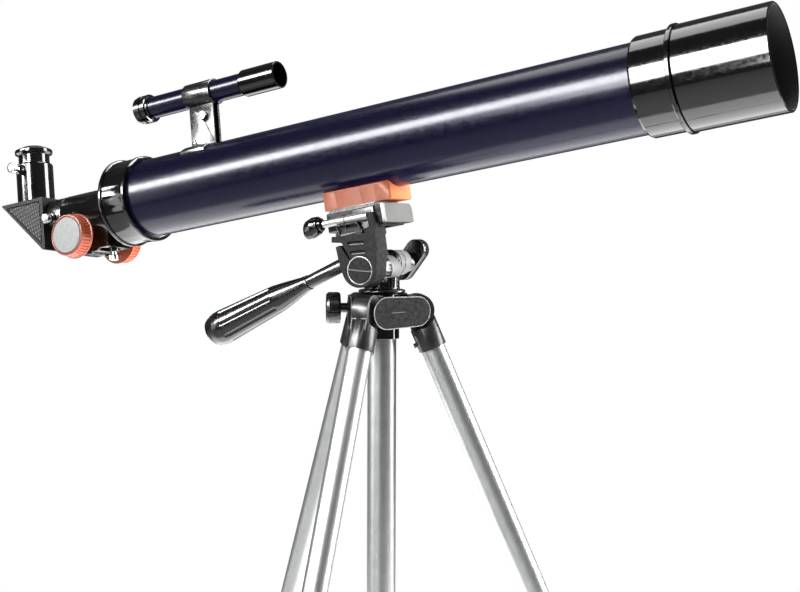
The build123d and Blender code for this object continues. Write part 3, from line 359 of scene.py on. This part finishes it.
for number in (1, 2, 3):
    NODE_LOOKS[f"brace_{number}"] = (satin_black, 0.2)
    NODE_LOOKS[f"leg_{number}_fittings"] = (cap_black, 0.4)
    NODE_LOOKS[f"leg_{number}_upper_tube"] = (anodised, 0)
    NODE_LOOKS[f"leg_{number}_lower_tube"] = (anodised, 0)
    NODE_LOOKS[f"leg_{number}_lock"] = (satin_black, 0.3)
    NODE_LOOKS[f"leg_{number}_foot"] = (rubber, 0.4)

for name, (material, width) in NODE_LOOKS.items():
    finish_node(name, material, width)


# ---- Mesh tools -----------------------------------------------------------------------

TIP = 0.001                  # a turned ring smaller than this is one point
RIB_STEPS = 6                # the mesh steps round one rib and the gap after it


def rounded(points, closed=True, steps=5):
    """A line of (x, y, corner radius) points with its corners rounded off."""
    line = []
    for index, (x, y, radius) in enumerate(points):
        here = Vector((x, y))
        if radius == 0 or (not closed and index in (0, len(points) - 1)):
            line.append(here)
            continue
        back = (Vector(points[index - 1][:2]) - here).normalized()
        ahead = (Vector(points[(index + 1) % len(points)][:2]) - here).normalized()
        half = back.angle(ahead) / 2
        middle = here + (back + ahead).normalized() * (radius / math.sin(half))
        reach = radius / math.tan(half)
        first = here + back * reach - middle
        last = here + ahead * reach - middle
        line += [middle + first.slerp(last, step / steps).normalized() * radius for step in range(steps + 1)]
    return [(point.x, point.y) for point in line]


def arc(x, y, radius, start, end, steps=24):
    """Points along part of a circle, in degrees, with no corner radius."""
    angles = [math.radians(start + (end - start) * step / steps) for step in range(steps + 1)]
    return [(x + radius * math.cos(angle), y + radius * math.sin(angle), 0) for angle in angles]


def circle(x, y, radius, steps=64):
    return [(px, py) for px, py, _ in arc(x, y, radius, 0, 360, steps)[:-1]]


def slot_hole(left, right, half):
    """A slot with round ends, from (x, y) to (x, y), with its half width."""
    rise = math.degrees(math.atan2(right[1] - left[1], right[0] - left[0]))
    points = arc(*right, half, rise - 90, rise + 90, 6) + arc(*left, half, rise + 90, rise + 270, 6)
    return [(x, y) for x, y, _ in points]


def plate(outline, low, high, holes=()):
    """A flat plate over the local XY plane between two heights, with its holes cut through."""
    build = bmesh.new()
    edges = []
    for loop in (outline, *holes):
        corners = [build.verts.new((x, y, low)) for x, y in loop]
        edges += [build.edges.new((corners[index - 1], corner)) for index, corner in enumerate(corners)]
    bmesh.ops.triangle_fill(build, use_beauty=True, use_dissolve=True, edges=edges)
    raised = bmesh.ops.extrude_face_region(build, geom=build.faces[:])["geom"]
    moved = [part for part in raised if isinstance(part, bmesh.types.BMVert)]
    bmesh.ops.translate(build, verts=moved, vec=(0, 0, high - low))
    return build


def join_rings(build, first, second):
    """Faces between two rings of the turned shape, where a ring of one point is a tip."""
    count = max(len(first), len(second))
    if count == 1:
        return
    for index in range(count):
        ahead = (index + 1) % count
        if len(first) == 1:
            build.faces.new((first[0], second[index], second[ahead]))
        elif len(second) == 1:
            build.faces.new((first[index], second[0], first[ahead]))
        else:
            build.faces.new((first[index], second[index], second[ahead], first[ahead]))


def lathe(profile, segments=72, closed=False, ribs=0, depth=0.0, ribbed=(0.0, 0.0), rib_share=0.5):
    """A shape turned about the local Z axis from (radius, height) points. Between the two heights
    in ribbed, the rim is cut back between evenly spaced ribs."""
    build = bmesh.new()
    if ribs:
        segments = ribs * RIB_STEPS
    rings = []
    for radius, height in profile:
        if radius < TIP:
            rings.append([build.verts.new((0, 0, height))])
            continue
        ring = []
        for step in range(segments):
            between = step % RIB_STEPS >= RIB_STEPS * rib_share
            reach = radius - depth if ribs and between and ribbed[0] <= height <= ribbed[1] else radius
            angle = 2 * math.pi * step / segments
            ring.append(build.verts.new((reach * math.cos(angle), reach * math.sin(angle), height)))
        rings.append(ring)
    pairs = list(zip(rings, rings[1:]))
    if closed:
        pairs.append((rings[-1], rings[0]))
    for first, second in pairs:
        join_rings(build, first, second)
    return build


def make(name, build, matrix, body, material, replaces=(), bevel=0.0, sharp=30.0):
    """Turns a mesh drawn in millimetres into a finished piece that rides on a body."""
    bmesh.ops.recalc_face_normals(build, faces=build.faces[:])
    bmesh.ops.scale(build, vec=(MM, MM, MM), verts=build.verts[:])
    mesh = bpy.data.meshes.new(name)
    build.to_mesh(mesh)
    build.free()
    mesh.materials.append(material)
    mesh.shade_smooth()
    mesh.set_sharp_from_angle(angle=math.radians(sharp))
    piece = bpy.data.objects.new(name, mesh)
    scene.collection.objects.link(piece)
    piece.matrix_world = matrix
    if bevel:
        add_bevel(piece, bevel, 3)
    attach(piece, body)
    if replaces:
        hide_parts(*replaces)
    return piece


# ---- Tilt bracket -----------------------------------------------------------------------
# Outlines are drawn in the SIDE frame. A plate's two heights are distances from the head's middle.

NEAR_Y = 28.0                # the bracket's outer face
INNER_Y = 13.1               # the cheek's inner face
FACE_THICK = 1.4
TOP_Y = 21.6                 # the inner side of the small pieces on top
AXLE_X, AXLE_Z = -16.0, -85.2
HINGE_Y, HINGE_Z = -24.0, -48.5      # the side hinge's axis in the HEAD frame

CHEEK_OUTLINE = [
    (-35.1, -58.6, 0.6), (-35.8, -62.6, 0.6), (-27.8, -64.1, 0.5), (-22.6, -76.0, 0.25), (-23.5, -76.5, 0.25),
    (-29.4, -65.6, 0.6), (-33.0, -66.2, 0.7), (-31.9, -79.0, 4.0), *arc(-16.7, -83.3, 13.9, 186, 338),
    (-0.3, -72.0, 12.0), (-0.2, -56.6, 1.2), (-5.0, -56.0, 0.8), (-7.6, -60.2, 1.2), (-27.0, -59.6, 0.5)]

SLOTS = [((-21.6, -65.6), (-10.6, -66.6)), ((-20.6, -72.3), (-10.4, -73.1))]
SLOT_HALF = 1.25
LIP_HALF = 0.32
LIP_DROP = 0.75              # the pale lip, a painted highlight on the slot's lower edge, is this far below its slot's middle


def bracket_part(name, outline, low, high, material, bevel, holes=(), replaces=()):
    build = plate(outline, low, high, holes)
    make(name, build, SIDE, "tilt_head", material, replaces=replaces, bevel=bevel)


def build_cheek():
    """The cheek with its slit, the two slots and the recess for the axle's cap, with a painted highlight
    along each slot's lower lip.
    """
    outline = rounded(CHEEK_OUTLINE)
    slots = [slot_hole(left, right, SLOT_HALF) for left, right in SLOTS]
    recess = circle(AXLE_X, AXLE_Z, 9.9)
    step_y = NEAR_Y - FACE_THICK
    bracket_part("bracket_cheek", outline, INNER_Y, step_y, textured_black, 0.3, replaces=["tilt_bracket"])
    bracket_part("bracket_face", outline, step_y, NEAR_Y, textured_black, 0.28, holes=[*slots, recess])
    for index, (left, right) in enumerate(SLOTS):
        # Each lip is a thin pale strip, a painted highlight on the slot's lower edge.
        lip = slot_hole((left[0], left[1] - LIP_DROP), (right[0], right[1] - LIP_DROP), LIP_HALF)
        bracket_part(f"bracket_slot_{index}", lip, NEAR_Y - 1.3, NEAR_Y - 0.1, edge_highlight_grey, 0.1)


def build_bracket_top():
    """The shelf, the open window, the ramp behind it, the ear and the stop."""
    shelf = rounded([(-34.0, -56.0, 0.8), (-2.0, -56.0, 0.8), (-2.0, -62.0, 0.8), (-34.0, -62.0, 0.8)])
    bracket_part("bracket_shelf", shelf, 8.0, 24.0, satin_black, 0.4)
    frame_out = rounded([(-31.4, -51.6, 0.4), (-14.0, -51.4, 0.4), (-10.0, -59.2, 0.4), (-28.4, -60.2, 0.4)])
    frame_in = rounded([(-30.4, -52.4, 0.3), (-14.7, -52.2, 0.3), (-11.5, -58.2, 0.3), (-28.0, -59.2, 0.3)])
    bracket_part("bracket_window", frame_out, TOP_Y, 27.0, satin_black, 0.3, holes=[frame_in])
    # The ramp is the window's sloping floor, painted a lighter grey where light falls on it.
    ramp = plate([(TOP_Y, -53.6), (22.6, -53.4), (26.6, -58.4), (26.6, -60.0), (TOP_Y, -60.0)], 0.0, 17.2)
    ramp_frame = placed(SIDE @ (Vector((-28.6, 0, 0)) * MM), NEAR_WAY, head_up, front)
    make("bracket_ramp", ramp, ramp_frame, "tilt_head", ramp_grey, bevel=0.2)
    ear = rounded([
        (-5.6, -46.8, 1.0), (-1.0, -46.4, 0.8), (-0.2, -57.2, 0.3), (-4.4, -57.2, 0.3), (-6.4, -49.5, 3.0)])
    bracket_part("bracket_ear", ear, 22.0, 25.6, textured_black, 0.5)
    block = rounded([(-11.0, -53.4, 0.8), (-5.6, -52.8, 0.6), (-5.2, -56.8, 0.6), (-9.4, -57.4, 0.6)])
    bracket_part("bracket_stop", block, TOP_Y, 25.6, ramp_grey, 0.4)


def build_hinge():
    """The side hinge's two barrels, one on the head and one that turns with the telescope, in pale satin that
    paints their glossy highlight band, and their web.
    """
    barrel = [(0, 0), (2.3, 0), (2.72, 0.4), (2.72, 17.7), (2.4, 18.1), (0, 18.1)]
    for which, start, body in (("rear", -42.4, "tilt_head"), ("front", -23.9, "telescope")):
        place = head_frame(start, HINGE_Y, HINGE_Z, (1, 0, 0))
        make(f"hinge_barrel_{which}", lathe(barrel, 40), place, body, highlight_satin)
    web = rounded([(-31.0, -49.0, 0.4), (-24.3, -49.0, 0.4), (-24.3, -60.0, 0.4), (-31.0, -60.0, 0.4)])
    bracket_part("hinge_web", web, 22.4, 24.6, satin_black, 0.3)


CAP_RADIUS = 8.9
CAP_SLOT_HALF = 0.55
STEM_START = 4.6
STEM_LENGTH = 20.6


def build_axle_cap():
    """The slotted cap over the axle, in two half discs on a pale base whose grey shows in the slot as a
    painted highlight, with a pale ring round it that is a painted edge highlight.
    """
    place = side_frame(AXLE_X, AXLE_Z)
    base = rounded([(0, 24.4, 0), (9.7, 24.4, 0), (9.7, 28.2, 0.4), (0, 28.4, 0)], closed=False)
    make("axle_cap_base", lathe(base, 72), place, "tilt_head", edge_highlight_grey,
         replaces=["tilt_axle"])
    stem = [(0, 0), (3.95, 0), (3.95, STEM_LENGTH), (0, STEM_LENGTH)]
    stem_place = side_frame(AXLE_X, AXLE_Z, STEM_START)
    make("axle_stem", lathe(stem, 40), stem_place, "tilt_head", steel)
    gap = math.degrees(math.asin(CAP_SLOT_HALF / CAP_RADIUS))
    for side, start in (("upper", -13), ("lower", 167)):
        half = rounded(arc(0, 0, CAP_RADIUS, start + gap, start + 180 - gap, 40))
        make(f"axle_cap_{side}", plate(half, 28.0, 29.6), place, "tilt_head", textured_black,
             bevel=0.3)
    # The pale ring paints the edge highlight round the cap.
    ring = rounded([(9.35, 27.6, 0), (9.95, 27.6, 0), (9.95, 28.5, 0.2), (9.35, 28.5, 0.2)])
    make("axle_ring_highlight", lathe(ring, 72, closed=True), place, "tilt_head", highlight_satin)


build_cheek()
build_bracket_top()
build_hinge()
build_axle_cap()


# ---- Screws, knobs and the eyepiece -----------------------------------------------------------

def build_thumbscrew(node, joint, shank, start, end, radius):
    """A chrome clamp screw: a shank, then a small domed, ribbed head from start to end."""
    profile = [
        (0, 0), (1.3, 0), (1.5, 0.3), (1.5, shank), (2.5, shank + 0.2), (2.3, start - 0.3),
        (radius - 0.8, start), (radius - 0.2, start + 0.3), (radius, start + 0.8), (radius, end - 1.2),
        (radius - 0.3, end - 0.6),
        (radius - 1.0, end - 0.15), (radius - 2.0, end), (0, end + 0.1)]
    build = lathe(profile, ribs=20, depth=0.4, ribbed=(start + 0.7, end - 1.1))
    make(f"{node}_head", build, foot_frame(node, joint), node, chrome, replaces=[node], sharp=40)


build_thumbscrew("drawtube_thumbscrew", "drawtube_screw", shank=6.6, start=9.0, end=13.6, radius=3.9)
build_thumbscrew("holder_thumbscrew", "holder_screw", shank=6.8, start=9.8, end=15.0, radius=4.2)
build_thumbscrew("focus_lock_screw", "focus_lock", shank=17.2, start=19.4, end=24.0, radius=3.6)

KNOB_REACH = 23.7            # from the telescope's middle to a focus knob's own origin
KNOB_RIM = [
    (2.0, -5.6), (6.3, -5.6), (6.5, -5.2), (6.5, 0), (16.9, 0), (17.5, 0.2), (17.6, 0.7), (17.55, 1.5),
    (17.2, 1.7), (17.15, 1.9), (16.3, 9.0), (16.3, 9.2), (16.3, 9.5), (16.1, 10.6), (15.6, 11.2),
    (15.0, 11.3), (14.5, 11.0), (14.4, 10.5), (14.4, 9.3), (2.0, 9.3)]
KNOB_DISC = [(0, 9.4), (13.85, 9.4), (13.85, 11.1), (13.6, 11.4), (7.0, 11.8), (0, 11.95)]


def build_focus_knobs():
    """Two ribbed knobs with a smooth lip, and a silver disc set into each."""
    axis = joint_axis("focus_turn")
    point = joint_point("focus_turn")
    for side, out in (("near", axis), ("far", -axis)):
        place = frame_along(point + out * KNOB_REACH * MM, out, front)
        knob = lathe(KNOB_RIM, closed=True, ribs=40, depth=0.9, ribbed=(1.85, 9.05), rib_share=0.6)
        make(f"focus_knob_{side}", knob, place, "focus_pinion", knob_orange,
             replaces=["focus_knobs"], sharp=28)
        disc = lathe(KNOB_DISC, 96)
        make(f"focus_knob_disc_{side}", disc, place, "focus_pinion", silver_disc,
             replaces=["knob_caps"], sharp=40)


build_focus_knobs()

EYEPIECE_BACK = 331.0        # the eyepiece's axis, behind the column
EYEPIECE_PROFILE = rounded([
    (10.6, 24.0, 0), (12.25, 24.0, 0.2), (12.25, 49.2, 0), (12.95, 49.2, 0.2), (12.95, 50.4, 0.3),
    (12.45, 50.6, 0), (12.45, 57.0, 1.0), (15.1, 58.4, 0.5), (15.2, 61.2, 1.2), (12.0, 62.6, 1.5),
    (8.2, 64.2, 0.8), (5.4, 64.0, 0.8), (5.0, 60.6, 0), (8.6, 60.6, 0), (8.6, 55.0, 0), (10.6, 55.0, 0)])
eyepiece_place = frame_along(stand_origin + front * (-EYEPIECE_BACK * MM), tube_up, front)
make("eyepiece_shell", lathe(EYEPIECE_PROFILE, 96, closed=True), eyepiece_place, "eyepiece", gloss_black,
     replaces=["eyepiece_body"], sharp=35)

DOME_START = 38.5            # the side knob's head starts here
DOME_RISE = 4.0
DOME_WIDER = 0.05
DOME_FLATTER = 0.22
DOME_LEAN = 0.2


def build_side_knob():
    """The smooth oval knob of the side hinge on its pin, with a collar."""
    place = head_frame(-7.4, HINGE_Y, HINGE_Z, (-1, 0, 0))
    profile = rounded([
        (0, 0, 0), (1.5, 0, 0), (1.5, 35.9, 0), (3.6, 36.0, 0.5), (3.8, 37.6, 0.5), (6.2, 38.4, 1.5),
        (7.0, 44.0, 3.0), (6.0, 50.0, 3.5), (0, 52.4, 0)], closed=False, steps=6)
    build = lathe(profile, 64)
    for corner in build.verts:
        past = corner.co.z - DOME_START
        if past > 0:
            share = min(1.0, past / DOME_RISE)
            corner.co.x = corner.co.x * (1 + DOME_WIDER * share) - DOME_LEAN * past
            corner.co.y *= 1 - DOME_FLATTER * share
    make("side_knob_dome", build, place, "side_tilt_knob", gloss_black,
         replaces=["side_tilt_knob"], sharp=40)
    collar = rounded([(0, 36.2, 0), (4.6, 36.2, 0.3), (4.6, 38.6, 0.3), (0, 38.6, 0)], closed=False)
    make("side_knob_collar", lathe(collar, 48), place, "side_tilt_knob", gloss_black)


build_side_knob()

LEVER_LOW = -54.6
LEVER_END = 21.0             # the lever's far end, across the head
LEVER_FRONT = 3.3


def build_lever():
    """The release lever: a flat front plate with a rounded far corner, and two pale strips on its near edge
    that are painted highlights.
    """
    place = placed(stand_origin, FAR_WAY, head_up, front)
    face = rounded([
        (-18.6, LEVER_LOW, 0.4), (LEVER_END, LEVER_LOW, 0.8), (LEVER_END, -41.2, 4.6), (-18.6, -41.0, 0.4)])
    make("lever_face", plate(face, LEVER_FRONT + 0.1, 5.2), place, "release_lever", lever_grey,
         replaces=["release_lever"], bevel=0.35)
    back = [(-LEVER_END, LEVER_LOW)]
    for middle in (-12.0, 12.0):
        left = middle - 2.8
        right = middle + 2.8
        back += [(left, LEVER_LOW), (left, -50.2), (right, -50.2), (right, LEVER_LOW)]
    back += [(LEVER_END, LEVER_LOW), (LEVER_END, -45.0), (17.0, -41.4), (-LEVER_END, -41.0)]
    make("lever_back", plate(back, -1.7, LEVER_FRONT), place, "release_lever", satin_black,
         bevel=0.4)
    # The two pale strips paint the bright highlights on the lever's near edge.
    for number, start in enumerate((-21.0, -19.7)):
        end = start + 0.9
        edge = rounded([(start, -54.4, 0.3), (end, -54.4, 0.3), (end, -41.2, 0.4), (start, -41.2, 0.4)])
        make(f"lever_edge_highlight_{number}", plate(edge, LEVER_FRONT, 5.6), place, "release_lever", highlight_satin,
             bevel=0.25)


build_lever()

GROOVES = (17, 137, 257)     # degrees round the column's knob
GROOVE_HALF = 4.0
GROOVE_DEPTH = 1.1
KNOB_HEAD_START = 20.2
KNOB_HEAD_INNER = 9.0


def in_groove(corner):
    """Whether a point of the column's knob is on its rim, in one of the grooves."""
    if corner.z <= KNOB_HEAD_START or math.hypot(corner.x, corner.y) <= KNOB_HEAD_INNER:
        return False
    angle = math.degrees(math.atan2(corner.y, corner.x))
    return any(abs((angle - groove + 180) % 360 - 180) < GROOVE_HALF for groove in GROOVES)


def build_column_knob():
    """The column's clamp knob: a plain round head with three grooves along its rim."""
    profile = rounded([
        (0, 0, 0), (2.4, 0, 0.3), (2.5, 13.2, 0), (3.4, 13.3, 0.2), (3.4, 20.2, 0), (10.4, 20.3, 0.8),
        (11.1, 22.0, 0.5), (11.1, 28.6, 1.0), (9.8, 30.2, 0.8), (0, 30.3, 0)], closed=False)
    build = lathe(profile, 120)
    for corner in build.verts:
        if in_groove(corner.co):
            radius = math.hypot(corner.co.x, corner.co.y)
            corner.co.x *= (radius - GROOVE_DEPTH) / radius
            corner.co.y *= (radius - GROOVE_DEPTH) / radius
    make("column_knob", build, foot_frame("column_lock_knob", "column_lock"), "column_lock_knob", satin_black,
         replaces=["column_lock_knob"], sharp=32)


build_column_knob()


# ---- Crown ------------------------------------------------------------------------------

PIVOT_DEPTH = 115.5          # the legs' pivots, below the telescope's axis
PIVOT_REACH = 25.0           # and out from the column's middle
LEG_TURNS = (-85.4, 34.6, 154.6)
BOSS_DEPTH = 113.7
PIN_HALF = 9.5
SIDE_START = 21.8            # a flat side starts this far out from the column's middle
PANEL_START = 22.8           # and its rim and panel start this far out

CROWN_MIDDLE = [
    (10.36, -135.4), (12.0, -135.6), (12.3, -135.2), (12.3, -128.0), (10.9, -127.0), (10.9, -104.6),
    (17.8, -104.2), (18.0, -103.7), (17.6, -103.3), (10.36, -103.3)]
CROWN_SIDE = rounded(arc(-11.4, -0.8, 11.4, 90, 270) + arc(15.0, -0.3, 10.6, -90, 90))
CROWN_PANEL = rounded(arc(-11.4, -0.8, 10.8, 90, 270) + arc(15.0, -0.3, 10.0, -90, 90))
CROWN_MARK = slot_hole((-7.4, -0.6), (3.6, -0.3), 0.28)
CROWN_WEB = rounded([(0, -11.8, 0), (11.4, -11.8, 0.5), (11.4, 11.8, 0.5), (0, 11.8, 0)])
CROWN_RIB = rounded([(10.0, -11.6, 0), (22.2, -11.6, 0.5), (22.2, 9.8, 0.5), (10.0, 9.8, 0)])


def level_way(turn):
    angle = math.radians(turn)
    return Vector((math.cos(angle), math.sin(angle), 0))


def crown_part(name, build, place, material, bevel=0.0):
    make(name, build, place, "tripod_base", material, bevel=bevel)


def build_crown_leg(number, way):
    """The web that runs out towards one leg, and the pin that the leg hangs from."""
    pivots = below_tube(PIVOT_DEPTH)
    place = placed(pivots, way, UP, way.cross(UP))
    crown_part(f"crown_web_{number}", plate(CROWN_WEB, -6.3, 6.3), place, satin_black, 0.4)
    pin = [(0, -PIN_HALF), (2.45, -PIN_HALF), (2.45, PIN_HALF), (0, PIN_HALF)]
    pin_place = placed(place @ Vector((PIVOT_REACH * MM, 0, 0)), way, UP, way.cross(UP))
    crown_part(f"crown_pin_{number}", lathe(pin, 32), pin_place, steel)


def build_crown_side(number, way):
    """The flat side between two legs. The one on the column's lock has a hole for its screw, and the
    others have a raised mark and a rib behind them."""
    pivots = below_tube(PIVOT_DEPTH)
    place = placed(pivots, UP.cross(way), UP, way)
    has_lock = way.dot(joint_axis("column_lock")) > 0.9
    holes = [circle(0, 1.8, 4.2)] if has_lock else []
    side = plate(CROWN_SIDE, SIDE_START, 22.9, holes)
    # The rim round each side is pale grey, a painted highlight along its raised outline.
    rim = plate(CROWN_SIDE, PANEL_START, 23.4, [CROWN_PANEL])
    panel = plate(CROWN_PANEL, PANEL_START, 23.1, holes)
    crown_part(f"crown_side_{number}", side, place, gloss_black, 0.3)
    crown_part(f"crown_rim_{number}", rim, place, edge_highlight_grey, 0.2)
    crown_part(f"crown_panel_{number}", panel, place, textured_black, 0.1)
    if not has_lock:
        crown_part(f"crown_mark_{number}", plate(CROWN_MARK, 23.05, 23.3), place, ramp_grey)
        rib_place = placed(pivots, way, UP, way.cross(UP))
        crown_part(f"crown_rib_{number}", plate(CROWN_RIB, -3.0, 3.0), rib_place, satin_black, 0.4)


def build_crown():
    """The casting that the legs hang from: a round middle, a web at each leg and a flat side between
    each two legs."""
    middle = lathe(CROWN_MIDDLE, 96, closed=True)
    make("crown_middle", middle, STAND, "tripod_base", gloss_black,
         replaces=["leg_crown"], sharp=25)
    for number, turn in enumerate(LEG_TURNS, start=1):
        build_crown_leg(number, level_way(turn))
        build_crown_side(number, level_way(turn + 60))
    boss = rounded([(2.6, 10.4, 0), (6.0, 10.4, 0), (6.0, SIDE_START, 0.6), (2.6, SIDE_START, 0)])
    boss_place = frame_along(below_tube(BOSS_DEPTH), joint_axis("column_lock"), UP)
    crown_part("crown_boss", lathe(boss, 48, closed=True), boss_place, satin_black)


build_crown()


# ---- Diagonal, shield and pan head -----------------------------------------------------------

def build_diagonal_panels():
    """The hatched three-cornered side plates of the diagonal."""
    outline = rounded([(-347.2, 13.2, 0.6), (-313.2, 13.2, 0.6), (-313.2, -20.2, 0.6)])
    tube_y = tube_up.cross(front)
    for name, out in (("near", -tube_y), ("far", tube_y)):
        y = out.cross(front)
        place = placed(stand_origin, front, y, out)
        turned = outline if y.dot(tube_up) > 0 else [(px, -py) for px, py in outline]
        panel = plate(turned, 15.2, 15.9)
        make(f"diagonal_panel_{name}", panel, place, "star_diagonal", hatched,
             replaces=["diagonal_panels"], bevel=0.15)


LINING_START = 232.7
LINING_END = 283.0
LINING_OUTER = 32.66
LINING_INNER = 32.45


def build_shield_lining():
    """The matte inside of the dew shield."""
    lining = [
        (LINING_OUTER, LINING_START), (LINING_OUTER, LINING_END),
        (LINING_INNER, LINING_END), (LINING_INNER, LINING_START)]
    place = frame_along(stand_origin, front, tube_up)
    make("shield_lining", lathe(lining, 128, closed=True), place, "telescope", shield_inside)


LOCK_DEPTH = 82.2            # the tilt lock's axis, below the telescope's
AXLE_DEPTH = 86.3
AXLE_FORWARD = 0.4


def build_lock_barrel():
    """The light sleeve with a ring groove that the tilt lock turns against, and the sleeve on the axle."""
    sleeve = rounded([
        (9.0, 9.6, 0), (9.6, 9.8, 0.2), (9.6, 11.4, 0.2), (9.15, 11.8, 0), (9.15, 17.6, 0.2), (8.9, 17.9, 0),
        (8.9, 18.9, 0), (9.15, 19.2, 0.2), (9.15, 27.3, 0.4), (3.2, 27.55, 0), (3.2, 9.6, 0)])
    place = frame_along(below_tube(LOCK_DEPTH), FAR_WAY, UP)
    make("lock_barrel", lathe(sleeve, closed=True), place, "pan_head", barrel_grey, sharp=35)
    neck = rounded([(10.15, -3.6, 0.3), (10.15, 9.2, 0.3), (9.0, 9.3, 0), (9.0, -3.6, 0)])
    axle = frame_along(below_tube(AXLE_DEPTH, AXLE_FORWARD), FAR_WAY, UP)
    make("axle_sleeve", lathe(neck, closed=True), axle, "pan_head", barrel_grey, sharp=35)


build_diagonal_panels()
build_shield_lining()
build_lock_barrel()


# ---- Studio ------------------------------------------------------------------------
# Places, sizes and distances here are in metres, and powers in watts.

FLOOR_RADIUS = 2.1
FLOOR_LEVEL = -0.0005
WHITE = (1.0, 1.0, 1.0, 1)
DIM = (0.10, 0.10, 0.102, 1)


def studio_floor():
    """A pale round floor under the tripod."""
    mesh = bpy.data.meshes.new("floor")
    build = bmesh.new()
    bmesh.ops.create_circle(build, cap_ends=True, segments=96, radius=FLOOR_RADIUS)
    build.to_mesh(mesh)
    build.free()
    floor = bpy.data.objects.new("floor", mesh)
    floor.location.z = FLOOR_LEVEL
    scene.collection.objects.link(floor)
    mesh.materials.append(surface("floor_pale", (0.80, 0.80, 0.80), 0.75, mottle=0.01))


def studio_world():
    """A backdrop that is white to the camera and dim as a light."""
    world = bpy.data.worlds.new("studio")
    scene.world = world
    world.use_nodes = True
    tree = world.node_tree
    background = tree.nodes["Background"]
    path = tree.nodes.new("ShaderNodeLightPath")
    mix = tree.nodes.new("ShaderNodeMix")
    mix.data_type = "RGBA"
    mix.inputs["A"].default_value = DIM
    mix.inputs["B"].default_value = WHITE
    tree.links.new(path.outputs["Is Camera Ray"], mix.inputs["Factor"])
    tree.links.new(mix.outputs["Result"], background.inputs["Color"])


def soft_light(name, place, target, size, power):
    data = bpy.data.lights.new(name, "AREA")
    data.shape = "RECTANGLE"
    data.size, data.size_y = size
    data.energy = power
    lamp = bpy.data.objects.new(name, data)
    lamp.location = place
    lamp.rotation_euler = (Vector(target) - Vector(place)).to_track_quat("-Z", "Y").to_euler()
    lamp.visible_camera = False
    scene.collection.objects.link(lamp)
    return lamp


# The camera's place in the STAND frame, in millimetres, its aim in degrees, and its lens and sensor
CAMERA_PLACE = (484.778, -845.682, -55.852)
CAMERA_TURN = 29.072
CAMERA_PITCH = 2.913
CAMERA_ROLL = 0.206
CAMERA_LENS = 61.92
CAMERA_SENSOR = 36.0


def studio_camera():
    """Sets the camera, and gives its own directions: forward, right and up."""
    turn, pitch, roll = (math.radians(angle) for angle in (CAMERA_TURN, CAMERA_PITCH, CAMERA_ROLL))
    forward = Vector((-math.sin(turn) * math.cos(pitch), math.cos(turn) * math.cos(pitch), -math.sin(pitch)))
    right = Vector((math.cos(turn), math.sin(turn), 0))
    up = right.cross(forward)
    level_right = right * math.cos(roll) + up * math.sin(roll)
    level_up = up * math.cos(roll) - right * math.sin(roll)
    data = bpy.data.cameras.new("camera")
    data.lens = CAMERA_LENS
    data.sensor_width = CAMERA_SENSOR
    camera = bpy.data.objects.new("camera", data)
    camera.matrix_world = placed(STAND @ (Vector(CAMERA_PLACE) * MM), level_right, level_up, -forward)
    scene.collection.objects.link(camera)
    scene.camera = camera
    return forward, level_right, level_up


studio_floor()
studio_world()
view_forward, view_right, view_up = studio_camera()

STRIP_AWAY = 1.6


def long_light(name, turn, middle, length, width, power):
    """A light along the telescope, at an angle above the head's level, that shows only in reflections."""
    out = HEAD.to_3x3() @ Vector((0, -math.cos(math.radians(turn)), math.sin(math.radians(turn))))
    place = stand_origin + out * STRIP_AWAY + front * middle
    lamp = soft_light(name, place, place - out, (length, width), power)
    lamp.matrix_world = placed(place, front, out.cross(front), out)
    lamp.visible_diffuse = False


def camera_light(name, right, up, back, size, power):
    """A light on the telescope's middle, placed along the camera's own directions from there."""
    place = stand_origin + view_right * right + view_up * up - view_forward * back
    return soft_light(name, place, stand_origin, size, power)


def below_light():
    """A light on the floor that faces up and shows only in reflections."""
    place = Vector((stand_origin.x - 0.1, stand_origin.y + 0.45, 0.02))
    lamp = soft_light("below", place, stand_origin, (3.0, 1.4), 42)
    lamp.rotation_euler = (math.pi, 0, 0)
    lamp.visible_diffuse = False


long_light("strip", turn=31, middle=-0.79, length=1.78, width=0.48, power=165)
long_light("strip_front", turn=15, middle=-0.22, length=0.5, width=0.5, power=28)
camera_light("fill", right=0.0, up=1.9, back=2.2, size=(3.0, 0.9), power=12)
camera_light("top", right=0.2, up=2.6, back=-0.6, size=(3.0, 1.6), power=70)
camera_light("left", right=-2.6, up=0.3, back=0.6, size=(0.7, 2.4), power=20)
narrow = camera_light("narrow", right=-1.05, up=0.2, back=1.8, size=(0.16, 1.5), power=26)
narrow.visible_diffuse = False
camera_light("right", right=2.5, up=0.5, back=-0.3, size=(1.0, 2.4), power=190)
below_light()

scene.view_settings.view_transform = "Standard"
